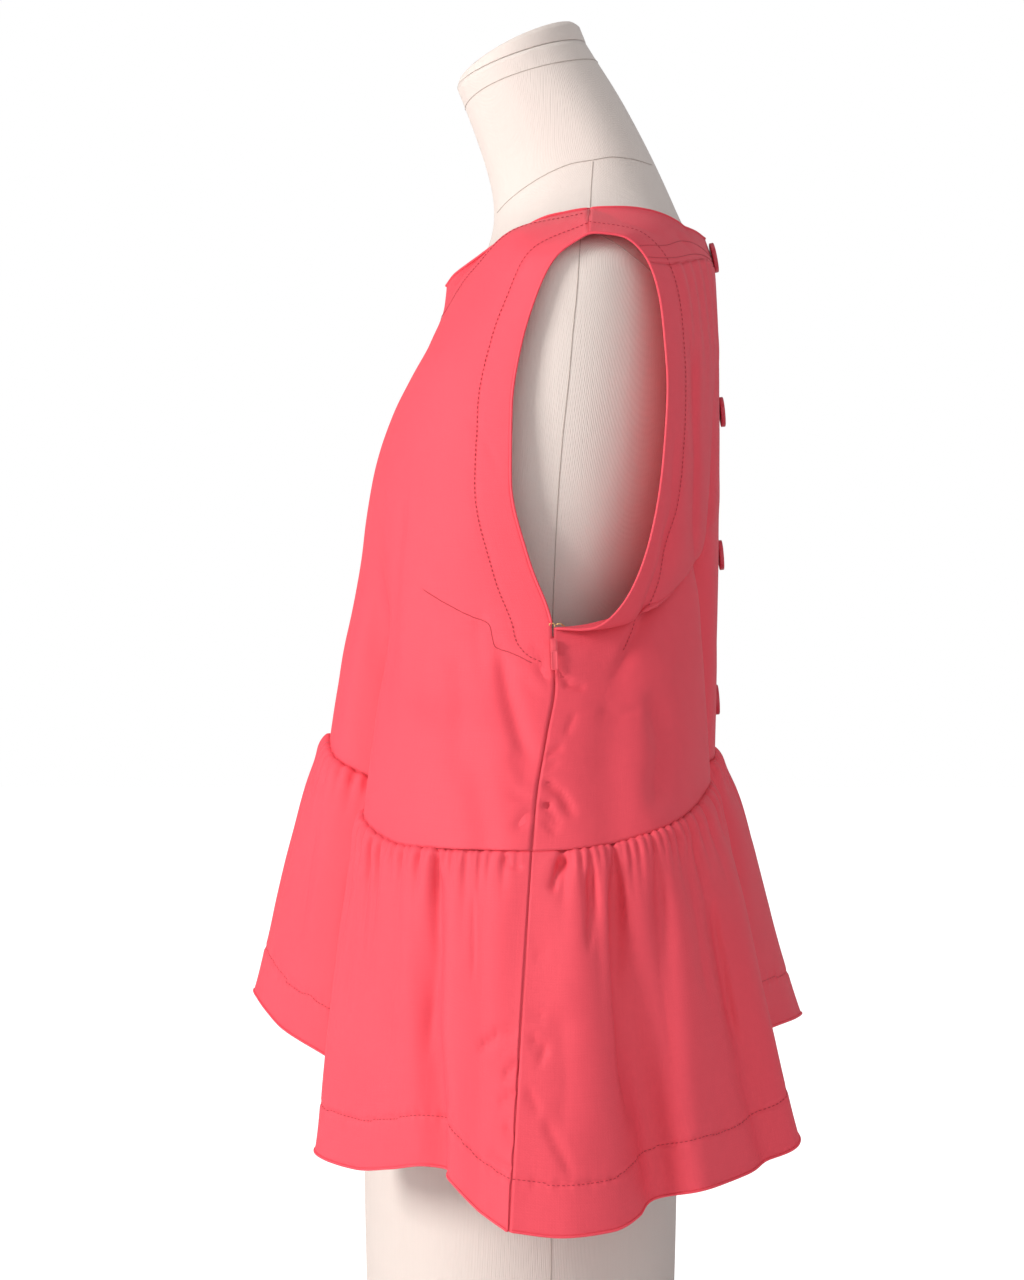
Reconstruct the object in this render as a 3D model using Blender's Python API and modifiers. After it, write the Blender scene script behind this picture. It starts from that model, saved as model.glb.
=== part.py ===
"""Sleeveless peplum top on a limbless dress form.

The top faces -Y, its wearer's left is +X and +Z is up. The origin is the middle of the
form's level base. Tables are in millimetres. Their z columns count from LEVEL above the base.
"""

import math

import bmesh
import bpy
import numpy as np
from mathutils import Vector
from mathutils.bvhtree import BVHTree

MM = 0.001
LEVEL = 465.0  # height of the tables' zero above the base
WALL = 1.6  # cloth with its turned edges
SEAM_GAP = 0.3
REST_PASSES = 3
REST_GAP = 1.5  # from the cloth's inside to the form, where the cloth lies on it
LAP = 12.0  # half the overlap of the two back edges, under the buttons
LAP_INSET = 2.0  # how far the under edge lies inside the upper one
BUTTON_RADIUS = 10.5
BUTTON_THICK = 3.0
BUTTON_LEANS = (0.02, 0.1, 0.1, 0.1)  # how far each top stands out, as a slope
BUTTON_LEVELS = (267.0, 160.0, 59.0, -42.0)
FRONT_COLUMNS = 34  # from side seam to side seam
BACK_COLUMNS = 24  # from centre back to side seam
FORM_SIDES = 40

# Front bodice, waist seam to shoulder: centre y and z, side x, y and z, turn of the
# section in degrees, its fullness, and how far its middle is raised and set back.
FRONT_ROWS = (
    # centre y, z,   side x, y, z,        turn, power, up, back
    (-127, -66, 235.0, 11.7, -130, 90, 2.0, 0, 0),
    (-122, -34, 221.0, 15.0, -96, 90, 2.05, 0, 0),
    (-117, -4, 205.0, 21.5, -59, 90, 2.1, 0, 0),
    (-111.5, 22, 188.0, 26.6, -28, 88, 2.2, 0, 0),
    (-106, 52, 176.5, 25.5, 8, 84, 2.3, 0, 0),
    (-102, 82, 167.0, 11.0, 50, 78, 2.4, 6, 0),
    (-96, 115, 161.0, -1.0, 102, 72, 2.4, 14, 3),
    (-84.5, 150, 160.0, -0.5, 150, 68, 2.4, 24, 8),
    (-67, 182, 162.5, 5.1, 189, 64, 2.3, 28, 12),
    (-54.5, 210, 167.0, 13.5, 217, 60, 2.2, 27, 13),
    (-47.5, 230, 171.5, 27.0, 245, 56, 2.2, 29, 26),
)
# Back bodice, waist seam to yoke seam, with the same columns.
BACK_ROWS = (
    (139.0, -74, 235.0, 12.6, -130, 90, 2.7, 0, 0),
    (140.5, -32, 221.0, 15.9, -96, 88, 2.5, 0, 0),
    (141.5, 10, 205.0, 22.4, -59, 84, 2.4, 0, 0),
    (143.0, 52, 188.0, 27.5, -28, 80, 2.3, 0, 0),
    (143.5, 86, 176.8, 26.6, 7, 76, 2.2, 0, 0),
    (144.0, 102, 178.0, 50.0, 6, 70, 2.2, 0, 0),
    (144.0, 120, 176.0, 72.0, 23.5, 60, 2.2, 0, 0),
    (144.0, 150, 171.0, 89.5, 68, 52, 2.2, 0, 0),
    (144.0, 178, 167.5, 97.0, 116, 48, 2.2, 0, 0),
    (144.0, 203, 166.5, 100.0, 163, 46, 2.2, 0, 0),
    (143.0, 228, 167.5, 97.0, 207, 46, 2.2, 2, -2),
    (140.5, 258, 169.5, 88.0, 242, 46, 2.1, 4, -3),
)
# Neckline from its centre to the neck point, front then back: x, y, z.
FRONT_NECK = (
    (0, -46, 248),
    (32, -39, 252),
    (61, -23, 260),
    (82, 1, 273),
    (92, 25, 283.5),
    (95, 52, 288),
)
BACK_NECK = (
    (0, 135, 281),
    (40, 124, 281),
    (66, 109, 282),
    (84, 86, 284.5),
    (93, 66, 287),
    (95, 52, 288),
)
SHOULDER_TIP = (173.5, 49.0, 261.0)
NECK_SHARE = 0.56  # share of a row's columns that ends at the neck point
# Hem of the peplum, centre to side: share of the waist seam above it, x, y, z.
FRONT_HEM = (
    (0.00, 0, -180, -244),
    (0.11, 26, -174, -249),
    (0.20, 52, -158, -263),
    (0.29, 84, -127, -277),
    (0.35, 104, -101, -291),
    (0.42, 126, -107, -311),
    (0.49, 150, -128, -330),
    (0.58, 178, -100, -337),
    (0.66, 199, -77, -333),
    (0.74, 219, -57, -328),
    (0.82, 238, -43, -331),
    (0.90, 255, -18, -350),
    (1.00, 271, -2.5, -358),
)
BACK_HEM = (
    (0.00, 0, 206, -258),
    (0.12, 38, 195, -259),
    (0.24, 76, 172, -262),
    (0.33, 104, 155, -272),
    (0.42, 134, 162, -293),
    (0.50, 168, 184, -320),
    (0.57, 188, 168, -330),
    (0.65, 206, 143, -337),
    (0.72, 232, 117, -341),
    (0.78, 240, 96, -346),
    (0.83, 250, 81, -353),
    (0.88, 264, 62, -359),
    (0.94, 273, 30, -361),
    (1.00, 271, -1.6, -358),
)
# Soft troughs: piece, share of the row at the first and last height, heights as shares of
# the piece, half-width as a share of the row, and depth.
FOLDS = (
    ("front", 0.33, 0.35, 0.50, 0.00, 0.085, 33.0),
    ("front", 0.80, 0.90, 0.25, 0.02, 0.030, 3.0),
    ("front", -0.30, -0.31, 0.45, 0.00, 0.090, 20.0),
    ("front", -0.84, -0.90, 0.25, 0.02, 0.030, 3.0),
    ("back", 0.47, 0.30, 0.95, 0.00, 0.055, 13.0),
    ("back", 0.86, 0.82, 0.45, 0.00, 0.060, 4.0),
    ("back", -0.42, -0.34, 0.95, 0.00, 0.060, 10.0),
    ("back", -0.80, -0.84, 0.45, 0.00, 0.060, 4.0),
    ("peplum_front", 0.76, 0.78, 0.05, 1.00, 0.040, 11.0),
    ("peplum_front", -0.70, -0.74, 0.05, 1.00, 0.045, 10.0),
    ("peplum_front", -0.10, -0.07, 0.10, 1.00, 0.045, 9.0),
    ("peplum_back", 0.82, 0.78, 0.05, 1.00, 0.040, 15.0),
    ("peplum_back", 0.60, 0.58, 0.10, 1.00, 0.035, 9.0),
    ("peplum_back", -0.84, -0.78, 0.05, 1.00, 0.045, 13.0),
    ("peplum_back", -0.58, -0.54, 0.10, 1.00, 0.040, 9.0),
    ("peplum_back", 0.03, 0.00, 0.10, 1.00, 0.050, 10.0),
)
# Gathers on one half of each peplum piece: count, depth, share where they fade to the side.
GATHERS = {"peplum_front": (16, 4.4, 0.93), "peplum_back": (26, 3.4, 0.97)}
PEPLUM_HEIGHTS = (0.0, 0.06, 0.16, 0.32, 0.54, 0.78, 1.0)
PEPLUM_PUFF = 10.0
YOKE = 0.13  # height of the back yoke as a share of the back bodice's
TUCKS = 5  # each side, below the back yoke
TUCK_DEPTH = 2.0

# Dress form, base to neck: front y and z, side x, y and z, back y and z.
FORM_ROWS = (
    (-101, -465, 164, 6, -465, 113, -465),
    (-103, -400, 167, 6, -400, 115, -400),
    (-104, -320, 169, 7, -320, 116, -320),
    (-101, -250, 164, 8, -250, 114, -250),
    (-92, -170, 148, 10, -170, 106, -170),
    (-80, -110, 127, 12, -110, 95, -110),
    (-76, -70, 121, 15, -70, 92, -70),
    (-79, -10, 128, 20, -10, 100, -10),
    (-86, 50, 140, 26, 50, 114, 50),
    (-89, 100, 147, 32, 100, 126, 100),
    (-80, 145, 152, 37, 145, 132, 145),
    (-61, 185, 157, 41, 185, 134, 185),
    (-48.5, 213, 162, 44, 215, 133, 212),
    (-43, 232, 166, 47, 236, 131, 234),
    (-39.5, 243, 167, 49, 249, 129, 250),
    (-32, 252, 160, 50, 259.5, 127, 264),
    (-25, 260, 142, 51, 267.5, 124.5, 275),
    (-19.5, 268, 118, 52, 276.5, 122, 283),
    (-15.5, 278, 95, 53, 284.5, 118, 291),
    (-13.0, 289, 76, 54, 299, 111, 308),
    (-12.6, 300, 64, 56, 320, 101, 330),
    (-14, 316, 58.5, 50, 345, 90, 352),
    (-22, 343, 56, 34, 368, 75, 380),
    (-34, 375, 55, 15, 391, 60, 403),
    (-38.5, 386, 55, 7, 401, 52, 416),
)
CAP_ROWS = (
    (-38.4, 386.5, 54.9, 7, 401.5, 51.9, 416.5),
    (-36.6, 391.5, 54.2, 5, 409.5, 47.5, 427.5),
    (-34.5, 393.3, 52.0, 3.5, 412.0, 43.5, 430.0),
)
UNDERARM_ROW = 4  # of FRONT_ROWS
ZIP_TOP, ZIP_END = 0.95, 0.62  # shares of the side seam and of the peplum that the zip spans
ZIP_WING = 0.033  # half the tape's width as a share of a panel's
ZIP_INSETS = (0.9, 1.3, 2.0)  # front wing, seam, back wing, from the cloth's inside
SLIDER = (4.6, 2.6, 9.0)  # width, thickness, length
PULL = (4.2, 1.0, 13.0)
PULL_STAND = 0.9  # from the slider's face to the pull's hinge line

COLORS = {
    "cloth": (0.86, 0.16, 0.19, 1.0),
    "form": (0.78, 0.73, 0.68, 1.0),
    "button": (0.72, 0.10, 0.16, 1.0),
    "zip": (0.70, 0.08, 0.14, 1.0),
}


def ease(value):
    """Smooth rise from 0 to 1."""
    value = np.clip(value, 0.0, 1.0)
    return value * value * (3.0 - 2.0 * value)


def monotone(knots, values, at):
    """Smooth curve through rows of values with no overshoot; knots rise."""
    knots = np.asarray(knots, float)
    values = np.asarray(values, float)
    at = np.asarray(at, float)
    steps = np.diff(knots).reshape(-1, *([1] * (values.ndim - 1)))
    secants = np.diff(values, axis=0) / steps
    before, after = secants[:-1], secants[1:]
    both = np.where(before + after == 0, 1, before + after)
    inner = np.where(before * after > 0, 2 * before * after / both, 0.0)
    slopes = np.concatenate([secants[:1], inner, secants[-1:]])
    place = np.clip(np.searchsorted(knots, at, side="right") - 1, 0, len(knots) - 2)
    width = np.diff(knots)[place]
    share = ((at - knots[place]) / width).reshape(-1, *([1] * (values.ndim - 1)))
    width = width.reshape(share.shape)
    start, end = values[place], values[place + 1]
    return (
        start * (1 + 2 * share) * (1 - share) ** 2
        + end * share**2 * (3 - 2 * share)
        + slopes[place] * width * share * (1 - share) ** 2
        - slopes[place + 1] * width * share**2 * (1 - share)
    )


def rounded(points, at):
    """Evenly paced curve through a few points, read at shares of its length."""
    points = np.asarray(points, float)
    length = np.concatenate([[0], np.cumsum(np.linalg.norm(np.diff(points, axis=0), axis=1))])
    return monotone(length / length[-1], points, at)


def section(row, shares, drop):
    """A section read at shares of its length from the centre out; negative is the right side."""
    centre_y, centre_z, side_x, side_y, side_z, turn, power, up, back = row
    exponent = 2.0 / power
    turn = math.radians(turn)
    angle = turn * np.linspace(0, 1, 241) ** 1.15
    x = side_x * (np.sin(angle) / math.sin(turn)) ** exponent
    fall = np.clip(np.cos(angle), 0, 1) ** exponent
    last = max(math.cos(turn), 0.0) ** exponent
    y = centre_y + (side_y - centre_y) * (1 - fall) / (1 - last)
    length = np.concatenate([[0], np.cumsum(np.hypot(np.diff(x), np.diff(y)))])
    length /= length[-1]
    part = np.abs(shares)
    hump = np.sin(math.pi * np.clip(part, 0, 1)) ** 2
    z = centre_z + (side_z - centre_z) * ease(part * drop) + up * hump
    x = np.interp(part, length, x) * np.sign(shares)
    y = np.interp(part, length, y) + back * hump
    return np.stack([x, y, z], axis=1)


def top_edge(neck, shares):
    """Neckline, then shoulder seam."""
    part = np.abs(shares)
    tip = np.array(SHOULDER_TIP)
    along_neck = rounded(neck, np.clip(part / NECK_SHARE, 0, 1))
    over = np.clip((part - NECK_SHARE) / (1 - NECK_SHARE), 0, 1)[:, None]
    points = along_neck + (tip - np.array(neck[-1], float)) * over
    points[:, 2] += 2.5 * (np.sin(math.pi * over[:, 0]))
    points[:, 0] *= np.sign(shares)
    return points


def row_knots(rows):
    steps = [0.0]
    for first, second in zip(rows, rows[1:]):
        centre = math.hypot(first[0] - second[0], first[1] - second[1])
        side = math.dist(first[2:5], second[2:5])
        steps.append(steps[-1] + 0.5 * (centre + side))
    return np.array(steps) / steps[-1]


def outward(grid):
    """Unit normals, outward in front where rows run to the wearer's left and climb."""
    normal = np.cross(np.gradient(grid, axis=1), np.gradient(grid, axis=0))
    return normal / np.linalg.norm(normal, axis=2, keepdims=True)


def pressed(piece, grid, shares, heights, sign):
    """The grid with its troughs pressed in."""
    depth = np.zeros(grid.shape[:2])
    for name, first, last, begin, end, half, deep in FOLDS:
        if name != piece:
            continue
        along = (heights - begin) / (end - begin)
        centre = first + (last - first) * np.clip(along, 0, 1)
        offset = (shares[None, :] - centre[:, None]) / half
        depth += deep * ease(along * 1.3)[:, None] * np.exp(-(offset**2))
    normal = outward(grid) * sign
    level = normal * [1, 1, 0.25]
    return grid - level * depth[:, :, None]


def flat_ridge(grid, shares, way):
    """The row beside the shoulder seam laid level, so that front and back meet flush."""
    on_shoulder = np.abs(shares) >= NECK_SHARE - 1e-6
    grid[-2, on_shoulder] = grid[-1, on_shoulder] + [0, 4.0 * way, -0.5]
    return grid


def front_grid(shares, heights):
    """Front bodice, waist seam to neckline and shoulder."""
    lines = [section(row, shares, 1.4) for row in FRONT_ROWS]
    lines.append(top_edge(FRONT_NECK, shares))
    knots = np.append(row_knots(FRONT_ROWS) * 0.93, 1.0)
    grid = monotone(knots, np.array(lines), heights)
    return pressed("front", grid, shares, heights, 1)


def back_surface(shares, heights):
    """Whole back before its folds: the bodice from 0 to 1, the yoke from 1 to 1 + YOKE."""
    lines = [section(row, shares, 1.0) for row in BACK_ROWS]
    edge = top_edge(BACK_NECK, shares)
    part = np.abs(shares)
    out = (ease(part / 0.5) * np.sin(math.pi * part**1.4))[:, None]
    lines += [0.5 * (lines[-1] + edge) + np.array([0, 7.0, 7.0]) * out + [0, 1.0, 0], edge]
    knots = np.append(row_knots(BACK_ROWS), [1 + 0.5 * YOKE, 1 + YOKE])
    return monotone(knots, np.array(lines), heights)


def back_grid(shares, heights):
    """Back bodice, waist seam to yoke seam, with its pleats and tucks."""
    grid = pressed("back", back_surface(shares, heights), shares, heights, -1)
    part = np.abs(shares)
    turns = (part - 0.30) / 0.54
    wave = np.where((turns > 0) & (turns < 1), 0.5 - 0.5 * np.cos(2 * math.pi * turns * TUCKS), 0.0)
    fade = ease((heights - 0.72) / 0.28)
    return grid - outward(grid) * (TUCK_DEPTH * wave[None, :] * fade[:, None])[:, :, None]


def waist_line(piece, shares):
    """The bodice's waist seam, folds and all."""
    if piece == "peplum_front":
        return front_grid(shares, np.array([0.0, 0.01]))[0]
    return back_grid(shares, np.array([0.0, 0.01]))[0]


def peplum_grid(piece, shares, heights):
    hem_rows = np.array(FRONT_HEM if piece == "peplum_front" else BACK_HEM, float)
    sign = 1 if piece == "peplum_front" else -1
    waist = waist_line(piece, shares)
    part = np.where(shares < 0, np.abs(shares) ** 1.07, np.abs(shares))
    mirrored = hem_rows[1:3][::-1] * [-1, -1, 1, 1]
    hem_rows = np.concatenate([mirrored, hem_rows])
    hem = monotone(hem_rows[:, 0], hem_rows[:, 1:], part)
    hem[:, 0] *= np.sign(shares)
    grid = waist + (hem - waist) * heights[:, None, None]
    normal = outward(grid) * -sign
    puff = PEPLUM_PUFF * 2.6 * heights ** 0.6 * (1 - heights) ** 1.6
    side = ease((1 - np.abs(shares)) / 0.12) * 0.75 + 0.25
    grid = grid + normal * (puff[:, None] * side[None, :])[:, :, None]
    count, deep, edge = GATHERS[piece]
    wave = np.cos(2 * math.pi * count * np.abs(shares))
    uneven = 0.72 + 0.28 * np.sin(17.0 * shares + 1.3) * np.cos(31.0 * shares)
    strength = np.exp(-heights / 0.22) * ease(heights / 0.05 + 0.35)
    fade = ease((edge - np.abs(shares)) / 0.05)
    grid = grid + normal * (deep * strength[:, None] * (wave * uneven * fade)[None, :])[:, :, None]
    return pressed(piece, grid, shares, heights, -sign)


def form_gap(point):
    """Nearest point of the form, its outward normal there, and the height of a point above it."""
    near, normal, _, _ = form_tree.find_nearest(Vector(point))
    return np.array(near), np.array(normal), float((Vector(point) - near).dot(normal))


def resting(grid):
    """The grid with each point and face that would lie in the form moved out onto it."""
    grid = grid.copy()
    least = WALL + REST_GAP
    for _ in range(REST_PASSES):
        for place in np.ndindex(grid.shape[:2]):
            near, normal, gap = form_gap(grid[place])
            if gap < least:
                grid[place] = near + normal * least
        middles = 0.25 * (grid[:-1, :-1] + grid[1:, :-1] + grid[:-1, 1:] + grid[1:, 1:])
        for i, j in np.ndindex(middles.shape[:2]):
            _, normal, gap = form_gap(middles[i, j])
            if gap < least:
                grid[i : i + 2, j : j + 2] += normal * (least - gap)
    return grid


def parted(grid, low, high, left, right):
    """The grid with the named edges drawn in by half a seam gap."""
    grid = grid.copy()
    half = 0.5 * SEAM_GAP
    for wanted, edge, inner in (
        (low, np.s_[0], np.s_[1]),
        (high, np.s_[-1], np.s_[-2]),
        (left, np.s_[:, 0], np.s_[:, 1]),
        (right, np.s_[:, -1], np.s_[:, -2]),
    ):
        if wanted:
            way = grid[inner] - grid[edge]
            grid[edge] += way / np.linalg.norm(way, axis=-1, keepdims=True) * half * wanted
    return grid


def material(name):
    made = bpy.data.materials.get(name)
    if made is None:
        made = bpy.data.materials.new(name)
        made.use_nodes = True
        made.node_tree.nodes["Principled BSDF"].inputs["Base Color"].default_value = COLORS[name]
        made.node_tree.nodes["Principled BSDF"].inputs["Roughness"].default_value = 0.7
    return made


def add_mesh(name, points, faces, look):
    mesh = bpy.data.meshes.new(name)
    mesh.from_pydata((np.asarray(points, float) + [0, 0, LEVEL]) * MM, [], faces)
    mesh.materials.append(material(look))
    obj = bpy.data.objects.new(name, mesh)
    parts.objects.link(obj)
    for polygon in mesh.polygons:
        polygon.use_smooth = True
    return obj


def add_panel(name, grid, sign, wall=WALL, look="cloth"):
    """A cloth panel: an open sheet on the grid, thickened inwards."""
    rows, columns = grid.shape[:2]
    faces = []
    for i in range(rows - 1):
        for j in range(columns - 1):
            corner = i * columns + j
            face = (corner, corner + 1, corner + columns + 1, corner + columns)
            faces.append(face if sign > 0 else face[::-1])
    obj = add_mesh(name, grid.reshape(-1, 3), faces, look)
    solid = obj.modifiers.new("Wall", "SOLIDIFY")
    solid.thickness = wall * MM
    solid.offset = -1.0
    return obj


def add_loft(name, rows, power, look):
    """A closed body through level or tilted rings, with flat ends."""
    angle = np.linspace(0, 2 * math.pi, FORM_SIDES, endpoint=False)
    points = []
    for front_y, front_z, side_x, side_y, side_z, back_y, back_z in rows:
        sine, cosine = np.sin(angle), np.cos(angle)
        exponent = 2.0 / power
        x = side_x * np.sign(sine) * np.abs(sine) ** exponent
        reach = np.abs(cosine) ** exponent
        y = side_y + (np.where(cosine > 0, front_y, back_y) - side_y) * reach
        z = side_z + (np.where(cosine > 0, front_z, back_z) - side_z) * reach
        points.append(np.stack([x, y, z], axis=1))
    count = FORM_SIDES
    faces = []
    for i in range(len(rows) - 1):
        for j in range(count):
            after = (j + 1) % count
            low, high = i * count, (i + 1) * count
            faces.append((low + j, low + after, high + after, high + j))
    faces.append(tuple(range(count))[::-1])
    top = (len(rows) - 1) * count
    faces.append(tuple(range(top, top + count)))
    return add_mesh(name, np.concatenate(points), faces, look)


def add_disc(name, centre, facing, radius, thick, look):
    """A round button with a softened rim, its back at the centre given."""
    bm = bmesh.new()
    bmesh.ops.create_cone(
        bm, cap_ends=True, segments=24, radius1=radius * MM, radius2=radius * MM, depth=thick * MM
    )
    rims = [edge for edge in bm.edges if abs(edge.verts[0].co.z - edge.verts[1].co.z) < 1e-6]
    bmesh.ops.bevel(bm, geom=rims, offset=0.8 * MM, segments=1, affect="EDGES")
    mesh = bpy.data.meshes.new(name)
    bm.to_mesh(mesh)
    bm.free()
    z_axis = np.array(facing) / np.linalg.norm(facing)
    x_axis = np.array([1.0, 0.0, 0.0])
    y_axis = np.cross(z_axis, x_axis)
    turned = np.array([vertex.co for vertex in mesh.vertices]) @ np.array([x_axis, y_axis, z_axis])
    place = (np.array(centre) + z_axis * (0.5 * thick) + [0, 0, LEVEL]) * MM
    for vertex, point in zip(mesh.vertices, turned + place):
        vertex.co = point
    mesh.materials.append(material(look))
    obj = bpy.data.objects.new(name, mesh)
    parts.objects.link(obj)
    return obj


def add_plate(name, middle, along, out, size, look):
    """A flat plate with cut corners; middle is its centre, along its long way, out its face."""
    width, thick, long = size
    along = np.array(along) / np.linalg.norm(along)
    out = np.array(out) - along * np.dot(out, along)
    out /= np.linalg.norm(out)
    across = np.cross(along, out)
    wide, tall, cut = 0.5 * width, 0.5 * long, 0.28 * width
    corners = ((1, -1), (1, 1), (-1, 1), (-1, -1))
    outline = []
    for side, end in corners:
        ends = [(side * (wide - cut), end * tall), (side * wide, end * (tall - cut))]
        outline += ends if side * end < 0 else ends[::-1]
    places = [across * u + along * v for u, v in outline]
    points = [middle + place + out * 0.5 * thick * face for face in (-1, 1) for place in places]
    count = len(places)
    faces = [tuple(range(count))[::-1], tuple(range(count, 2 * count))]
    for i in range(count):
        after = (i + 1) % count
        faces.append((i, after, count + after, count + i))
    return add_mesh(name, points, faces, look)


def cleared():
    for obj in list(bpy.data.objects):
        bpy.data.objects.remove(obj)
    for old in list(bpy.data.collections):
        bpy.data.collections.remove(old)
    made = bpy.data.collections.new("peplum_top")
    bpy.context.scene.collection.children.link(made)
    return made


def gather_columns(piece):
    """Shares with a column on every crest and in every valley."""
    count = GATHERS[piece][0]
    return np.linspace(-1, 1, 4 * count + 1)


def inset_lap(grid):
    """The under edge of the back opening, set inside the upper one."""
    near = ease((LAP * 2.7 - np.abs(grid[:, :, 0])) / (LAP * 1.2)) * LAP_INSET
    near = np.where(grid[:, :, 0] > 0, LAP_INSET, near)
    return grid + outward(grid) * near[:, :, None]


def back_shares(side):
    """Shares of one back half, from the side seam to past the centre."""
    past = LAP / 245.0
    main = np.linspace(past * 1.3, 1.0, BACK_COLUMNS)
    return np.sort(side * np.concatenate([[-past, 0.0], main]))


def build_form():
    body = add_loft("dress_form", FORM_ROWS, 2.05, "form")
    corners = [np.array(vertex.co) / MM - [0, 0, LEVEL] for vertex in body.data.vertices]
    polygons = [tuple(polygon.vertices) for polygon in body.data.polygons]
    add_loft("form_cap", CAP_ROWS, 2.05, "form")
    return BVHTree.FromPolygons(corners, polygons)


def build_bodice():
    shares = np.linspace(-1, 1, FRONT_COLUMNS + 1)
    neck = np.array([-NECK_SHARE, NECK_SHARE])
    for value in neck:
        shares[np.argmin(np.abs(shares - value))] = value
    heights = np.concatenate([np.linspace(0, 0.93, 15), [0.965, 1.0]])
    grid = resting(flat_ridge(front_grid(shares, heights), shares, -1))
    add_panel("front_bodice", parted(grid, 1, 2, 1, 1), 1)
    heights = np.append(np.linspace(0, 0.985, 15), 1.0)
    yoke_heights = 1 + YOKE * np.array([0.0, 0.07, 0.3, 0.55, 0.8, 0.95, 1.0])
    for name, side in (("left", 1), ("right", -1)):
        shares = back_shares(side)
        grid = resting(back_grid(shares, heights))
        yoke = resting(flat_ridge(back_surface(shares, yoke_heights), shares, 1))
        if side < 0:
            grid = inset_lap(grid)
            yoke = inset_lap(yoke)
        side_edge = (0, 1) if side > 0 else (1, 0)
        add_panel("back_bodice_" + name, parted(grid, 1, 1, *side_edge), -1)
        add_panel("back_yoke_" + name, parted(yoke, 1, 2, 0, 0), -1)


def build_peplum():
    heights = np.array(PEPLUM_HEIGHTS)
    for piece, sign in (("peplum_front", -1), ("peplum_back", 1)):
        grid = peplum_grid(piece, gather_columns(piece), heights)
        add_panel(piece, parted(grid, 5, 0, 1, 1), sign)


def build_buttons():
    centre = back_surface(np.array([0.0]), np.linspace(0, 1 + YOKE, 200))[:, 0]
    for index, level in enumerate(BUTTON_LEVELS):
        near = int(np.argmin(np.abs(centre[:, 2] - level)))
        climb = centre[near + 1] - centre[near - 1]
        facing = np.array([0, climb[2], -climb[1]]) / math.hypot(climb[1], climb[2])
        lean = BUTTON_LEANS[index]
        leaning = facing + [0, 0, lean]
        start = centre[near] + facing * (SEAM_GAP + BUTTON_RADIUS * lean + 0.1)
        add_disc(f"button_{index + 1}", start, leaning, BUTTON_RADIUS, BUTTON_THICK, "button")


def side_strip(seam_shares, peplum_shares):
    """Three columns of the cloth's outside down the left side: front wing, seam, back wing."""
    ends = slice(0, UNDERARM_ROW + 1)
    front_knots = row_knots(FRONT_ROWS)[ends] * 0.93
    back_knots = row_knots(BACK_ROWS)[ends]
    front_heights = seam_shares * front_knots[-1]
    back_heights = np.interp(front_heights, front_knots, back_knots)
    wing = np.array([1 - ZIP_WING, 1.0])
    front = [front_grid(wing, front_heights), peplum_grid("peplum_front", wing, peplum_shares)]
    back = [back_grid(wing, back_heights), peplum_grid("peplum_back", wing, peplum_shares)]
    front, back = np.concatenate(front), np.concatenate(back)
    strip = np.stack([front[:, 0], 0.5 * (front[:, 1] + back[:, 1]), back[:, 0]], axis=1)
    return strip, -outward(strip)


def build_zip():
    strip, normal = side_strip(np.linspace(ZIP_TOP, 0.02, 9), np.linspace(0.03, ZIP_END, 6))
    inset = WALL + np.array(ZIP_INSETS)[None, :, None]
    add_panel("zip_tape", strip - normal * inset, -1, 1.0, "zip")
    strip, normal = side_strip(ZIP_TOP - np.array([0.02, 0.12, 0.22]), np.array([0.1, 0.2]))
    along, out = strip[1, 1] - strip[0, 1], normal[1, 1]
    along /= np.linalg.norm(along)
    slider = strip[0, 1] + along * 0.5 * SLIDER[2] + out * (SEAM_GAP + 0.3 + 0.5 * SLIDER[1])
    add_plate("zip_slider", slider, along, out, SLIDER, "zip")
    hinge = slider + along * (0.5 * SLIDER[2] - 1.0) + out * (0.5 * SLIDER[1] + PULL_STAND)
    add_plate("zip_pull", hinge + along * (0.5 * PULL[2] + 0.3), along, out, PULL, "zip")


parts = cleared()
form_tree = build_form()
build_bodice()
build_peplum()
build_buttons()
build_zip()
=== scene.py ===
# Peplum top on a limbless dress form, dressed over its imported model.
# Tables are in millimetres, and their z counts from 465 mm above the base.
import math
import bmesh
import bpy
import numpy as np
from mathutils import Matrix, Vector, noise
from mathutils.bvhtree import BVHTree
from mathutils.kdtree import KDTree


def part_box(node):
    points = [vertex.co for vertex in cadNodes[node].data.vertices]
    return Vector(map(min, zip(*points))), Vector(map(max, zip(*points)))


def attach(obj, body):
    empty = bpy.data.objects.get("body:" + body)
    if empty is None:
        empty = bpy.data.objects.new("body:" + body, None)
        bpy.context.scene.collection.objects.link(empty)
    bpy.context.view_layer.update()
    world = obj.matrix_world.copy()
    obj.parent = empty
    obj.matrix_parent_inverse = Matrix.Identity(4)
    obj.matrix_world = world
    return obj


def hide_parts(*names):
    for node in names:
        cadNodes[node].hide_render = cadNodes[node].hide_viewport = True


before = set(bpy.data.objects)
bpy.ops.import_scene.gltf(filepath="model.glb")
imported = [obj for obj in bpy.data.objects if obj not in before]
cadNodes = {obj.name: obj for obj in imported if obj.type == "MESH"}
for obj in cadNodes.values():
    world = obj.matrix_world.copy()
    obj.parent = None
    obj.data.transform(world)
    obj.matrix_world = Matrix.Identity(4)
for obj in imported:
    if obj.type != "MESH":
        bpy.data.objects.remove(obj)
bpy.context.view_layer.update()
mm = 0.001
level = 465.0

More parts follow.
